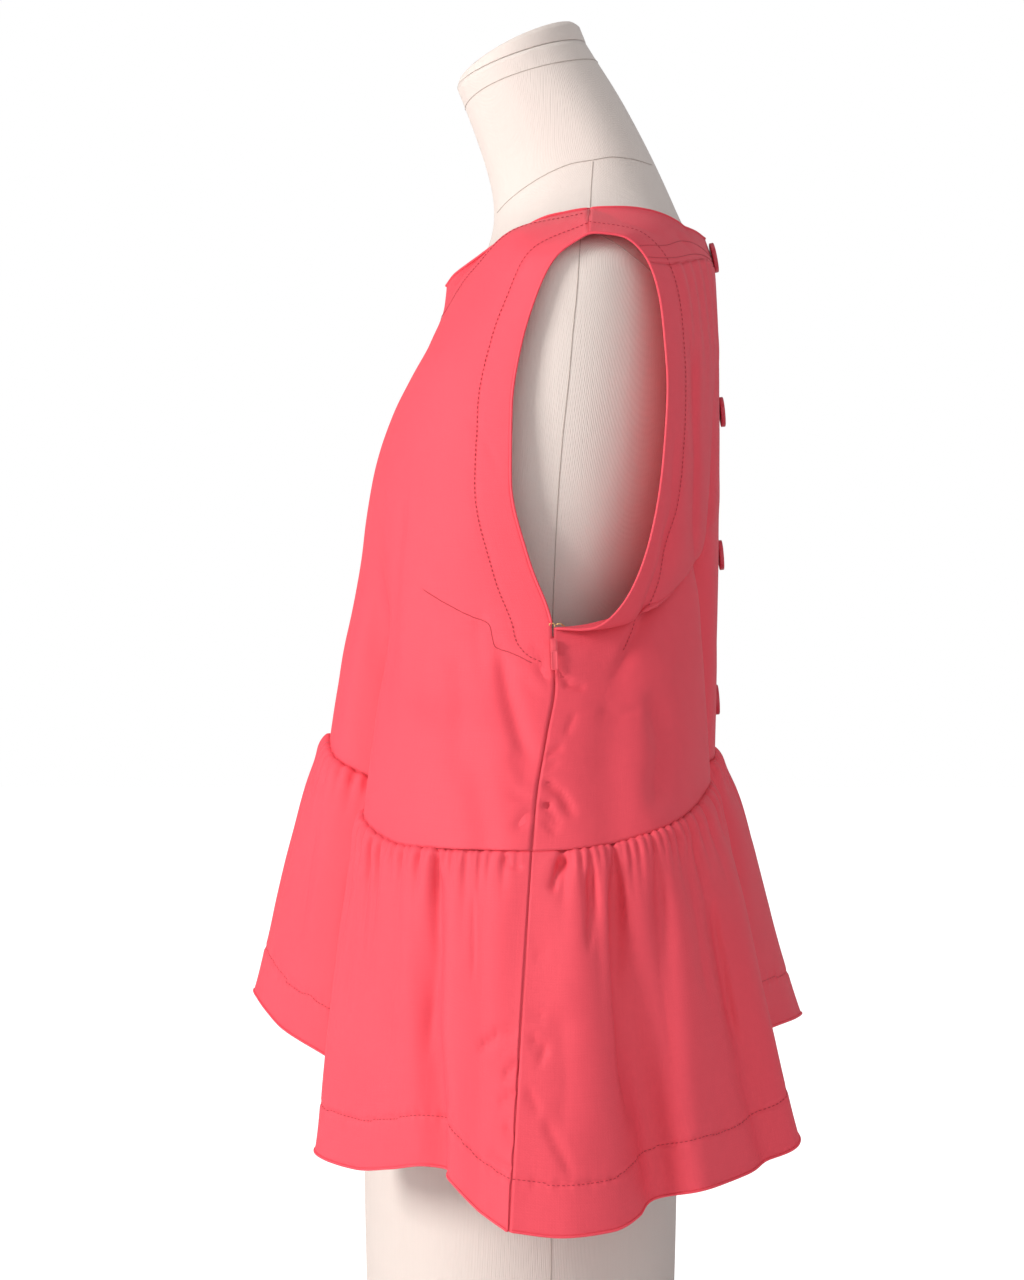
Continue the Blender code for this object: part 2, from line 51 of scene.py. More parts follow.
# Camera, light and floor
view = {"distance": 2.0, "eyeHeight": 0.465, "mmPerPixel": 0.7, "width": 1024, "height": 1280}
studio = {
    # name: place, aimed at, size in metres, watts, colour
    "key": ((1.5, -2.3, 1.5), (0.0, 0.0, 0.45), 1.0, 72.0, (1.0, 0.97, 0.94)),
    "front": ((0.5, -2.6, 0.5), (0.0, 0.0, 0.4), 1.2, 10.0, (1.0, 0.96, 0.93)),
    "behind": ((-1.4, 2.2, 1.6), (0.0, 0.0, 0.4), 1.6, 5.0, (0.90, 0.93, 1.0)),
    "side": ((2.3, 1.1, 1.2), (0.0, 0.0, 0.4), 2.2, 15.0, (1.0, 0.97, 0.96)),
    "top": ((0.3, 0.0, 2.6), (0.0, 0.0, 0.5), 1.6, 5.0, (1.0, 1.0, 1.0)),
}


def aim(obj, place, target):
    obj.location = place
    obj.rotation_euler = (Vector(target) - Vector(place)).to_track_quat("-Z", "Y").to_euler()


def mathNode(tree, kind, first, second=None):
    node = tree.nodes.new("ShaderNodeMath")
    node.operation = kind
    for socket, value in zip(node.inputs, (first, second)):
        if value is None:
            continue
        if isinstance(value, (int, float)):
            socket.default_value = value
        else:
            tree.links.new(value, socket)
    return node.outputs[0]


def setStage():
    cameraData = bpy.data.cameras.new("camera")
    camera = bpy.data.objects.new("camera", cameraData)
    bpy.context.scene.collection.objects.link(camera)
    cameraData.lens = 36.0 * view["distance"] / (view["height"] * view["mmPerPixel"] * mm)
    camera.location = (view["distance"], 0.0, view["eyeHeight"])
    camera.rotation_euler = (math.radians(90), 0.0, math.radians(90))
    bpy.context.scene.camera = camera
    for name, (place, target, size, watts, colour) in studio.items():
        lamp = bpy.data.lights.new(name, "AREA")
        lamp.size = size
        lamp.energy = watts
        lamp.color = colour
        light = bpy.data.objects.new(name, lamp)
        bpy.context.scene.collection.objects.link(light)
        aim(light, place, target)
    world = bpy.data.worlds.new("studio")
    world.use_nodes = True
    tree = world.node_tree
    fill = tree.nodes["Background"]
    fill.inputs["Color"].default_value = (0.97, 0.98, 1.0, 1.0)
    fill.inputs["Strength"].default_value = 0.33
    shown = tree.nodes.new("ShaderNodeBackground")  # what shows behind the object
    shown.inputs["Color"].default_value = (1.0, 1.0, 1.0, 1.0)
    shown.inputs["Strength"].default_value = 1.0
    rays = tree.nodes.new("ShaderNodeLightPath")
    choice = tree.nodes.new("ShaderNodeMixShader")
    tree.links.new(rays.outputs["Is Camera Ray"], choice.inputs[0])
    tree.links.new(fill.outputs[0], choice.inputs[1])
    tree.links.new(shown.outputs[0], choice.inputs[2])
    tree.links.new(choice.outputs[0], tree.nodes["World Output"].inputs["Surface"])
    bpy.context.scene.world = world
    bpy.context.scene.view_settings.view_transform = "Standard"  # keeps the cloth's red clear
    bpy.ops.mesh.primitive_plane_add(size=14.0, location=(0, 0, -0.0005))
    floor = bpy.context.object
    floor.name = "floor"
    paint = bpy.data.materials.new("pale_floor")
    paint.use_nodes = True
    shader = paint.node_tree.nodes["Principled BSDF"]
    shader.inputs["Base Color"].default_value = (0.94, 0.94, 0.94, 1.0)
    shader.inputs["Roughness"].default_value = 0.9
    # keeps the paper pale without lighting the cloth from below
    glow = paint.node_tree.nodes.new("ShaderNodeEmission")
    glow.inputs["Strength"].default_value = 1.4
    seen = paint.node_tree.nodes.new("ShaderNodeLightPath")
    part = mathNode(paint.node_tree, "MULTIPLY", seen.outputs["Is Camera Ray"], 0.8)
    blend = paint.node_tree.nodes.new("ShaderNodeMixShader")
    paint.node_tree.links.new(part, blend.inputs[0])
    paint.node_tree.links.new(shader.outputs[0], blend.inputs[1])
    paint.node_tree.links.new(glow.outputs[0], blend.inputs[2])
    paint.node_tree.links.new(blend.outputs[0], paint.node_tree.nodes["Material Output"].inputs["Surface"])
    floor.data.materials.append(paint)
    return camera


setStage()
print("camera, light and floor are set")

# Materials


def newGroup(name, inputs, outputs):
    group = bpy.data.node_groups.new(name, "ShaderNodeTree")
    for label, kind, value in inputs:
        socket = group.interface.new_socket(label, in_out="INPUT", socket_type=kind)
        if value is not None:
            socket.default_value = value
    for label, kind in outputs:
        group.interface.new_socket(label, in_out="OUTPUT", socket_type=kind)
    return group, group.nodes.new("NodeGroupInput"), group.nodes.new("NodeGroupOutput")


def joined(tree, source, sink):
    tree.links.new(source, sink)


def threadWeave():  # plain weave read from a map in metres: thread height, and a slub mask
    group, takes, gives = newGroup(
        "thread_weave",
        [("Map", "NodeSocketVector", None), ("Threads per metre", "NodeSocketFloat", 2600.0),
        ("Slub", "NodeSocketFloat", 1.0)],
        [("Height", "NodeSocketFloat"), ("Slub", "NodeSocketFloat")],
    )
    tree = group
    split = tree.nodes.new("ShaderNodeSeparateXYZ")
    joined(tree, takes.outputs["Map"], split.inputs[0])
    waves = []
    for axis in ("X", "Y"):
        turned = mathNode(tree, "MULTIPLY", split.outputs[axis], takes.outputs["Threads per metre"])
        turned = mathNode(tree, "MULTIPLY", turned, math.pi)
        waves.append(mathNode(tree, "SINE", turned))
    plain = mathNode(tree, "MULTIPLY", waves[0], waves[1])
    slubs = []
    for stretch in ((60.0, 1100.0, 1.0), (1100.0, 60.0, 1.0)):
        mapping = tree.nodes.new("ShaderNodeMapping")
        mapping.inputs["Scale"].default_value = stretch
        joined(tree, takes.outputs["Map"], mapping.inputs["Vector"])
        grain = tree.nodes.new("ShaderNodeTexNoise")
        grain.inputs["Scale"].default_value = 1.0
        grain.inputs["Detail"].default_value = 3.0
        joined(tree, mapping.outputs[0], grain.inputs["Vector"])
        slubs.append(grain.outputs["Fac"])
    slub = mathNode(tree, "ADD", slubs[0], slubs[1])
    slub = mathNode(tree, "MULTIPLY", slub, takes.outputs["Slub"])
    height = mathNode(tree, "ADD", mathNode(tree, "MULTIPLY", plain, 0.5), slub)
    joined(tree, height, gives.inputs["Height"])
    joined(tree, slub, gives.inputs["Slub"])
    return group


def softPatches():  # slow change of tone over a piece
    group, takes, gives = newGroup(
        "soft_patches",
        [("Place", "NodeSocketVector", None), ("Scale", "NodeSocketFloat", 9.0)],
        [("Tone", "NodeSocketFloat")],
    )
    cloud = group.nodes.new("ShaderNodeTexNoise")
    cloud.inputs["Detail"].default_value = 4.0
    cloud.inputs["Roughness"].default_value = 0.55
    joined(group, takes.outputs["Place"], cloud.inputs["Vector"])
    joined(group, takes.outputs["Scale"], cloud.inputs["Scale"])
    joined(group, cloud.outputs["Fac"], gives.inputs["Tone"])
    return group


weaveGroup = threadWeave()
patchGroup = softPatches()

finishes = {
    # threads per metre, slub, bump height in metres, roughness, sheen
    "cotton_cloth": {"dark": (0.74, 0.058, 0.088), "light": (0.88, 0.088, 0.124), "threads": 2600.0,
    "slub": 0.9,
                     "bump": 0.00022, "rough": 0.55, "sheen": 0.05, "sheenTint": (1.0, 0.45, 0.5)},
    # darker than the cloth; this colour serves the stitches and button threads, and it is also the painted shade
    # line along each bust dart
    "stitch_thread_and_dart_shade": {"dark": (0.42, 0.022, 0.040), "light": (0.56, 0.035, 0.055), "threads": 5200.0,
    "slub": 0.5,
                      "bump": 0.0002, "rough": 0.5, "sheen": 0.1, "sheenTint": (1.0, 0.8, 0.8)},
    "zip_cloth": {"dark": (0.36, 0.012, 0.028), "light": (0.46, 0.02, 0.04), "threads": 1500.0, "slub": 0.7,
                  "bump": 0.0003, "rough": 0.62, "sheen": 0.1, "sheenTint": (1.0, 0.8, 0.8)},
    "cover_cloth": {"dark": (0.66, 0.58, 0.535), "light": (0.75, 0.675, 0.63), "threads": 1900.0,
    "slub": 0.8,
                    "bump": 0.00025, "rough": 0.82, "sheen": 0.15, "sheenTint": (1.0, 1.0, 1.0)},
    "cover_seam": {"dark": (0.42, 0.36, 0.32), "light": (0.50, 0.43, 0.39), "threads": 3000.0, "slub": 0.5,
                   "bump": 0.0002, "rough": 0.85, "sheen": 0.1, "sheenTint": (1.0, 1.0, 1.0)},
}


def fabric(name, onMap=True):
    spec = finishes[name]
    made = bpy.data.materials.new(name)
    made.use_nodes = True
    tree = made.node_tree
    shader = tree.nodes["Principled BSDF"]
    place = tree.nodes.new("ShaderNodeTexCoord")
    weave = tree.nodes.new("ShaderNodeGroup")
    weave.node_tree = weaveGroup
    weave.inputs["Threads per metre"].default_value = spec["threads"]
    weave.inputs["Slub"].default_value = spec["slub"]
    joined(tree, place.outputs["UV" if onMap else "Object"], weave.inputs["Map"])
    patches = tree.nodes.new("ShaderNodeGroup")
    patches.node_tree = patchGroup
    joined(tree, place.outputs["Object"], patches.inputs["Place"])
    tone = mathNode(tree, "ADD", mathNode(tree, "MULTIPLY", patches.outputs["Tone"], 0.5),
        mathNode(tree, "MULTIPLY", weave.outputs["Slub"], 0.28))
    mix = tree.nodes.new("ShaderNodeMix")
    mix.data_type = "RGBA"
    mix.inputs["A"].default_value = (*spec["dark"], 1.0)
    mix.inputs["B"].default_value = (*spec["light"], 1.0)
    joined(tree, tone, mix.inputs["Factor"])
    joined(tree, mix.outputs["Result"], shader.inputs["Base Color"])
    rough = mathNode(tree, "ADD", mathNode(tree, "MULTIPLY", weave.outputs["Slub"], 0.06),
        spec["rough"] - 0.05)
    joined(tree, rough, shader.inputs["Roughness"])
    bump = tree.nodes.new("ShaderNodeBump")
    bump.inputs["Distance"].default_value = spec["bump"]
    bump.inputs["Strength"].default_value = 0.55
    joined(tree, weave.outputs["Height"], bump.inputs["Height"])
    joined(tree, bump.outputs[0], shader.inputs["Normal"])
    shader.inputs["Sheen Weight"].default_value = spec["sheen"]
    shader.inputs["Sheen Roughness"].default_value = 0.45
    shader.inputs["Sheen Tint"].default_value = (*spec["sheenTint"], 1.0)
    shader.inputs["Specular IOR Level"].default_value = 0.32
    return made


hardFinishes = {
    # dark, light, roughness, metallic
    "button_resin": ((0.50, 0.028, 0.055), (0.62, 0.045, 0.08), 0.28, 0.0),
    "painted_zip": ((0.66, 0.05, 0.075), (0.80, 0.09, 0.12), 0.34, 0.0),
    "brass_wire": ((0.62, 0.42, 0.14), (0.80, 0.58, 0.24), 0.3, 1.0),
}


def hardFinish(name):
    dark, light, rough, metallic = hardFinishes[name]
    made = bpy.data.materials.new(name)
    made.use_nodes = True
    tree = made.node_tree
    shader = tree.nodes["Principled BSDF"]
    place = tree.nodes.new("ShaderNodeTexCoord")
    patches = tree.nodes.new("ShaderNodeGroup")
    patches.node_tree = patchGroup
    patches.inputs["Scale"].default_value = 160.0
    joined(tree, place.outputs["Object"], patches.inputs["Place"])
    mix = tree.nodes.new("ShaderNodeMix")
    mix.data_type = "RGBA"
    mix.inputs["A"].default_value = (*dark, 1.0)
    mix.inputs["B"].default_value = (*light, 1.0)
    joined(tree, patches.outputs["Tone"], mix.inputs["Factor"])
    joined(tree, mix.outputs["Result"], shader.inputs["Base Color"])
    rubbed = mathNode(tree, "ADD", mathNode(tree, "MULTIPLY", patches.outputs["Tone"], 0.16), rough)
    joined(tree, rubbed, shader.inputs["Roughness"])
    shader.inputs["Metallic"].default_value = metallic
    bump = tree.nodes.new("ShaderNodeBump")
    bump.inputs["Distance"].default_value = 0.0001
    bump.inputs["Strength"].default_value = 0.2
    joined(tree, patches.outputs["Tone"], bump.inputs["Height"])
    joined(tree, bump.outputs[0], shader.inputs["Normal"])
    return made


clothFinish = fabric("cotton_cloth")
threadAndDartShadeFinish = fabric("stitch_thread_and_dart_shade", False)
coverFinish = fabric("cover_cloth", False)
seamFinish = fabric("cover_seam", False)
buttonFinish = hardFinish("button_resin")
sliderFinish = hardFinish("painted_zip")
brassFinish = hardFinish("brass_wire")
print("materials are mixed")


# Shape of the cloth, as the model has it

lap = 12.0  # half the overlap of the back edges
lapInset = 2.0
peplumPuff = 10.0
yokeShare = 0.13
tucks = 5
tuckDepth = 2.0
underarmRow = 4
# Front bodice, waist seam to shoulder: centre y and z, side x, y and z, turn of the
# section in degrees, its fullness, and how far its middle is raised and set back.
frontRows = (
    # centre y, z,   side x, y, z,        turn, power, up, back
    (-127, -66, 235.0, 11.7, -130, 90, 2.0, 0, 0),
    (-122, -34, 221.0, 15.0, -96, 90, 2.05, 0, 0),
    (-117, -4, 205.0, 21.5, -59, 90, 2.1, 0, 0),
    (-111.5, 22, 188.0, 26.6, -28, 88, 2.2, 0, 0),
    (-106, 52, 176.5, 25.5, 8, 84, 2.3, 0, 0),
    (-102, 82, 167.0, 11.0, 50, 78, 2.4, 6, 0),
    (-96, 115, 161.0, -1.0, 102, 72, 2.4, 14, 3),
    (-84.5, 150, 160.0, -0.5, 150, 68, 2.4, 24, 8),
    (-67, 182, 162.5, 5.1, 189, 64, 2.3, 28, 12),
    (-54.5, 210, 167.0, 13.5, 217, 60, 2.2, 27, 13),
    (-47.5, 230, 171.5, 27.0, 245, 56, 2.2, 29, 26),
)
# Back bodice, waist seam to yoke seam, with the same columns.
backRows = (
    (139.0, -74, 235.0, 12.6, -130, 90, 2.7, 0, 0),
    (140.5, -32, 221.0, 15.9, -96, 88, 2.5, 0, 0),
    (141.5, 10, 205.0, 22.4, -59, 84, 2.4, 0, 0),
    (143.0, 52, 188.0, 27.5, -28, 80, 2.3, 0, 0),
    (143.5, 86, 176.8, 26.6, 7, 76, 2.2, 0, 0),
    (144.0, 102, 178.0, 50.0, 6, 70, 2.2, 0, 0),
    (144.0, 120, 176.0, 72.0, 23.5, 60, 2.2, 0, 0),
    (144.0, 150, 171.0, 89.5, 68, 52, 2.2, 0, 0),
    (144.0, 178, 167.5, 97.0, 116, 48, 2.2, 0, 0),
    (144.0, 203, 166.5, 100.0, 163, 46, 2.2, 0, 0),
    (143.0, 228, 167.5, 97.0, 207, 46, 2.2, 2, -2),
    (140.5, 258, 169.5, 88.0, 242, 46, 2.1, 4, -3),
)
# Neckline from its centre to the neck point, front then back: x, y, z.
frontNeck = (
    (0, -46, 248),
    (32, -39, 252),
    (61, -23, 260),
    (82, 1, 273),
    (92, 25, 283.5),
    (95, 52, 288),
)
backNeck = (
    (0, 135, 281),
    (40, 124, 281),
    (66, 109, 282),
    (84, 86, 284.5),
    (93, 66, 287),
    (95, 52, 288),
)
shoulderTip = (173.5, 49.0, 261.0)
neckShare = 0.56  # share of a row's columns that ends at the neck point
# Hem of the peplum, centre to side: share of the waist seam above it, x, y, z.
frontHem = (
    (0.00, 0, -180, -244),
    (0.11, 26, -174, -249),
    (0.20, 52, -158, -263),
    (0.29, 84, -127, -277),
    (0.35, 104, -101, -291),
    (0.42, 126, -107, -311),
    (0.49, 150, -128, -330),
    (0.58, 178, -100, -337),
    (0.66, 199, -77, -333),
    (0.74, 219, -57, -328),
    (0.82, 238, -43, -331),
    (0.90, 255, -18, -350),
    (1.00, 271, -2.5, -358),
)
backHem = (
    (0.00, 0, 206, -258),
    (0.12, 38, 195, -259),
    (0.24, 76, 172, -262),
    (0.33, 104, 155, -272),
    (0.42, 134, 162, -293),
    (0.50, 168, 184, -320),
    (0.57, 188, 168, -330),
    (0.65, 206, 143, -337),
    (0.72, 232, 117, -341),
    (0.78, 240, 96, -346),
    (0.83, 250, 81, -353),
    (0.88, 264, 62, -359),
    (0.94, 273, 30, -361),
    (1.00, 271, -1.6, -358),
)
# Soft troughs: piece, share of the row at the first and last height, heights as shares of
# the piece, half-width as a share of the row, and depth.
folds = (
    ("front", 0.33, 0.35, 0.50, 0.00, 0.085, 33.0),
    ("front", 0.80, 0.90, 0.25, 0.02, 0.030, 3.0),
    ("front", -0.30, -0.31, 0.45, 0.00, 0.090, 20.0),
    ("front", -0.84, -0.90, 0.25, 0.02, 0.030, 3.0),
    ("back", 0.47, 0.30, 0.95, 0.00, 0.055, 13.0),
    ("back", 0.86, 0.82, 0.45, 0.00, 0.060, 4.0),
    ("back", -0.42, -0.34, 0.95, 0.00, 0.060, 10.0),
    ("back", -0.80, -0.84, 0.45, 0.00, 0.060, 4.0),
    ("peplum_front", 0.76, 0.78, 0.05, 1.00, 0.040, 11.0),
    ("peplum_front", -0.70, -0.74, 0.05, 1.00, 0.045, 10.0),
    ("peplum_front", -0.10, -0.07, 0.10, 1.00, 0.045, 9.0),
    ("peplum_back", 0.82, 0.78, 0.05, 1.00, 0.040, 15.0),
    ("peplum_back", 0.60, 0.58, 0.10, 1.00, 0.035, 9.0),
    ("peplum_back", -0.84, -0.78, 0.05, 1.00, 0.045, 13.0),
    ("peplum_back", -0.58, -0.54, 0.10, 1.00, 0.040, 9.0),
    ("peplum_back", 0.03, 0.00, 0.10, 1.00, 0.050, 10.0),
)


def ease(value):  # smooth rise from 0 to 1
    value = np.clip(value, 0.0, 1.0)
    return value * value * (3.0 - 2.0 * value)


def monotone(knots, values, at):  # smooth curve through rows of values with no overshoot; knots rise
    knots = np.asarray(knots, float)
    values = np.asarray(values, float)
    at = np.asarray(at, float)
    steps = np.diff(knots).reshape(-1, *([1] * (values.ndim - 1)))
    secants = np.diff(values, axis=0) / steps
    before, after = secants[:-1], secants[1:]
    both = np.where(before + after == 0, 1, before + after)
    inner = np.where(before * after > 0, 2 * before * after / both, 0.0)
    slopes = np.concatenate([secants[:1], inner, secants[-1:]])
    place = np.clip(np.searchsorted(knots, at, side="right") - 1, 0, len(knots) - 2)
    width = np.diff(knots)[place]
    share = ((at - knots[place]) / width).reshape(-1, *([1] * (values.ndim - 1)))
    width = width.reshape(share.shape)
    start, end = values[place], values[place + 1]
    return (
        start * (1 + 2 * share) * (1 - share) ** 2
        + end * share**2 * (3 - 2 * share)
        + slopes[place] * width * share * (1 - share) ** 2
        - slopes[place + 1] * width * share**2 * (1 - share)
    )


def rounded(points, at):  # evenly paced curve through a few points, read at shares of its length
    points = np.asarray(points, float)
    length = np.concatenate([[0], np.cumsum(np.linalg.norm(np.diff(points, axis=0), axis=1))])
    return monotone(length / length[-1], points, at)


# a section read at shares of its length from the centre out; negative is the right side
def section(row, shares, drop):
    centreY, centreZ, sideX, sideY, sideZ, turn, power, up, back = row
    exponent = 2.0 / power
    turn = math.radians(turn)
    angle = turn * np.linspace(0, 1, 241) ** 1.15
    x = sideX * (np.sin(angle) / math.sin(turn)) ** exponent
    fall = np.clip(np.cos(angle), 0, 1) ** exponent
    last = max(math.cos(turn), 0.0) ** exponent
    y = centreY + (sideY - centreY) * (1 - fall) / (1 - last)
    length = np.concatenate([[0], np.cumsum(np.hypot(np.diff(x), np.diff(y)))])
    length /= length[-1]
    part = np.abs(shares)
    hump = np.sin(math.pi * np.clip(part, 0, 1)) ** 2
    z = centreZ + (sideZ - centreZ) * ease(part * drop) + up * hump
    x = np.interp(part, length, x) * np.sign(shares)
    y = np.interp(part, length, y) + back * hump
    return np.stack([x, y, z], axis=1)


def topEdge(neck, shares):  # neckline, then shoulder seam
    part = np.abs(shares)
    tip = np.array(shoulderTip)
    alongNeck = rounded(neck, np.clip(part / neckShare, 0, 1))
    over = np.clip((part - neckShare) / (1 - neckShare), 0, 1)[:, None]
    points = alongNeck + (tip - np.array(neck[-1], float)) * over
    points[:, 2] += 2.5 * (np.sin(math.pi * over[:, 0]))
    points[:, 0] *= np.sign(shares)
    return points


def rowKnots(rows):
    steps = [0.0]
    for first, second in zip(rows, rows[1:]):
        centre = math.hypot(first[0] - second[0], first[1] - second[1])
        side = math.dist(first[2:5], second[2:5])
        steps.append(steps[-1] + 0.5 * (centre + side))
    return np.array(steps) / steps[-1]


def outward(grid):  # unit normals, outward in front where rows run to the wearer's left and climb
    normal = np.cross(np.gradient(grid, axis=1), np.gradient(grid, axis=0))
    return normal / np.linalg.norm(normal, axis=2, keepdims=True)


def pressed(piece, grid, shares, heights, sign):  # the grid with its troughs pressed in
    depth = np.zeros(grid.shape[:2])
    for name, first, last, begin, end, half, deep in folds:
        if name != piece:
            continue
        along = (heights - begin) / (end - begin)
        centre = first + (last - first) * np.clip(along, 0, 1)
        offset = (shares[None, :] - centre[:, None]) / half
        depth += deep * ease(along * 1.3)[:, None] * np.exp(-(offset**2))
    normal = outward(grid) * sign
    level = normal * [1, 1, 0.25]
    return grid - level * depth[:, :, None]


def frontGrid(shares, heights):  # front bodice, waist seam to neckline and shoulder
    lines = [section(row, shares, 1.4) for row in frontRows]
    lines.append(topEdge(frontNeck, shares))
    knots = np.append(rowKnots(frontRows) * 0.93, 1.0)
    grid = monotone(knots, np.array(lines), heights)
    return pressed("front", grid, shares, heights, 1)


# whole back before its folds: the bodice from 0 to 1, the yoke from 1 to 1 + yokeShare
def backSurface(shares, heights):
    lines = [section(row, shares, 1.0) for row in backRows]
    edge = topEdge(backNeck, shares)
    part = np.abs(shares)
    out = (ease(part / 0.5) * np.sin(math.pi * part**1.4))[:, None]
    arch = ease((part - 0.72) / 0.28)[:, None] * [0.6, 1.0, 7.5]
    lines += [0.5 * (lines[-1] + edge) + np.array([0, 7.0, 7.0]) * out + [0, 1.0, 0] + arch, edge]
    knots = np.append(rowKnots(backRows), [1 + 0.5 * yokeShare, 1 + yokeShare])
    return monotone(knots, np.array(lines), heights)


def backGrid(shares, heights):  # back bodice, waist seam to yoke seam, with its pleats and tucks
    grid = pressed("back", backSurface(shares, heights), shares, heights, -1)
    part = np.abs(shares)
    turns = (part - 0.30) / 0.54
    wave = np.where((turns > 0) & (turns < 1), 0.5 - 0.5 * np.cos(2 * math.pi * turns * tucks), 0.0)
    fade = ease((heights - 0.72) / 0.28)
    return grid - outward(grid) * (tuckDepth * wave[None, :] * fade[:, None])[:, :, None]


def waistLine(piece, shares):  # the bodice's waist seam, folds and all
    if piece == "peplum_front":
        return frontGrid(shares, np.array([0.0, 0.01]))[0]
    return backGrid(shares, np.array([0.0, 0.01]))[0]


def insetLap(grid):  # the under edge of the back opening, set inside the upper one
    near = ease((lap * 2.7 - np.abs(grid[:, :, 0])) / (lap * 1.2)) * lapInset
    near = np.where(grid[:, :, 0] > 0, lapInset, near)
    return grid + outward(grid) * near[:, :, None]


def smoothed(grid, rounds):  # evens out a dense grid, its edges held
    grid = grid.copy()
    for _ in range(rounds):
        inner = 0.25 * (grid[:-2, 1:-1] + grid[2:, 1:-1] + grid[1:-1, :-2] + grid[1:-1, 2:])
        grid[1:-1, 1:-1] = 0.5 * (grid[1:-1, 1:-1] + inner)
    return grid


def restingOn(grid, least):  # points that would lie in the form moved out onto it
    grid = grid.copy()
    for place in np.ndindex(grid.shape[:2]):
        near, normal, _, _ = formTree.find_nearest(Vector(grid[place]))
        side = (Vector(grid[place]) - near).dot(normal)
        if side < least:
            grid[place] = np.array(near) + np.array(normal) * least
    return grid


def inPicture(points):  # where points show in the camera's picture, in its pixels
    reach = view["distance"] / mm
    grow = reach / (reach - points[..., 0]) / view["mmPerPixel"]
    return np.stack([0.5 * view["width"] + points[..., 1] * grow,
        0.5 * view["height"] - points[..., 2] * grow], axis=-1)


def lineWeight(place, line, half, lean):  # 1 on a line, fading out sideways and to its ends
    line = np.array(line, float)
    steps = np.diff(line, axis=0)
    long = np.linalg.norm(steps, axis=1)
    starts = np.concatenate([[0], np.cumsum(long)])
    best = np.full(place.shape[:-1], 1e9)
    along = np.zeros(place.shape[:-1])
    side = np.ones(place.shape[:-1])
    for index, step in enumerate(steps):
        offset = place - line[index]
        share = np.clip(offset @ step / long[index] ** 2, 0, 1)
        away = offset - share[..., None] * step
        far = np.linalg.norm(away, axis=-1)
        nearer = far < best
        best = np.where(nearer, far, best)
        along = np.where(nearer, (starts[index] + share * long[index]) / starts[-1], along)
        turn = np.sign(step[0] * away[..., 1] - step[1] * away[..., 0])
        side = np.where(nearer, turn, side)
    width = half * (1 + lean * side)
    return np.exp(-((best / width) ** 1.6)) * ease(along / 0.22) * ease((1 - along) / 0.3)


creaseStrength = 1.3  # of every crease of the tables below


def creased(grid, sign, table, farShare, shift):  # the near side's creases, and a like set on the far side
    normal = outward(grid) * sign
    depth = np.zeros(grid.shape[:2])
    for side, strength, move in ((1, 1.0, 0.0), (-1, farShare, shift)):
        place = inPicture(grid * [side, 1, 1])
        reach = ease((grid[..., 0] * side - 15.0) / 50.0)
        for line, half, deep, lean in table:
            deep = deep * creaseStrength
            moved = np.array(line, float) + [0.4 * move, move]
            depth += strength * deep * reach * lineWeight(place, moved, half, lean)
    return grid - normal * depth[:, :, None]


def uneven(grid, sign, size, amount, seed):  # slow swell of hand-made cloth
    normal = outward(grid) * sign
    swell = np.zeros(grid.shape[:2])
    for place in np.ndindex(swell.shape):
        x, y, z = grid[place] / size
        swell[place] = noise.noise(Vector((x + seed, y, z * 0.55)))
    return grid + normal * (swell * amount)[:, :, None]


def arcs(grid):  # mean length along the rows and along the columns, from their starts
    across = np.linalg.norm(np.diff(grid, axis=1), axis=2).mean(axis=0)
    up = np.linalg.norm(np.diff(grid, axis=0), axis=2).mean(axis=1)
    return np.concatenate([[0], np.cumsum(across)]), np.concatenate([[0], np.cumsum(up)])


def finished(obj, body, finish):
    obj.data.materials.clear()
    obj.data.materials.append(finish)
    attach(obj, body)
    return obj


def meshOf(name, points, faces):
    mesh = bpy.data.meshes.new(name)
    mesh.from_pydata(((np.asarray(points, float) + [0, 0, level]) * mm).tolist(), [], faces)
    obj = bpy.data.objects.new(name, mesh)
    bpy.context.scene.collection.objects.link(obj)
    mesh.polygons.foreach_set("use_smooth", [True] * len(mesh.polygons))
    return obj


def applied(obj):
    bpy.ops.object.select_all(action="DESELECT")
    obj.select_set(True)
    bpy.context.view_layer.objects.active = obj
    for modifier in list(obj.modifiers):
        bpy.ops.object.modifier_apply(modifier=modifier.name)
    return obj


def clothPanel(name, grid, sign, wall, finish=None):
    rows, columns = grid.shape[:2]
    index = np.arange(rows * columns).reshape(rows, columns)
    quads = np.stack([index[:-1, :-1], index[:-1, 1:], index[1:, 1:], index[1:, :-1]], axis=-1).reshape(-1,
        4)
    if sign < 0:
        quads = quads[:, ::-1]
    obj = meshOf(name, grid.reshape(-1, 3), quads.tolist())
    across, up = arcs(grid)
    layer = obj.data.uv_layers.new(name="UVMap")
    corners = quads.reshape(-1)
    placed = np.stack([across[corners % columns], up[corners // columns]], axis=1) * mm
    layer.data.foreach_set("uv", placed.reshape(-1).astype(np.float32))
    shell = obj.modifiers.new("thickness", "SOLIDIFY")
    shell.thickness = wall * mm
    shell.offset = -1.0
    applied(obj)
    return finished(obj, "top_and_form", finish or clothFinish)


def framesAlong(points, closed):
    ahead = np.roll(points, -1, axis=0) - np.roll(points, 1, axis=0)
    if not closed:
        ahead[0] = points[1] - points[0]
        ahead[-1] = points[-1] - points[-2]
    ahead /= np.linalg.norm(ahead, axis=1, keepdims=True)
    side = np.cross(ahead[0], [0.3, 0.5, 0.81])
    sides = []
    for way in ahead:
        side = side - way * side.dot(way)
        side = side / np.linalg.norm(side)
        sides.append(side)
    sides = np.array(sides)
    return sides, np.cross(ahead, sides)


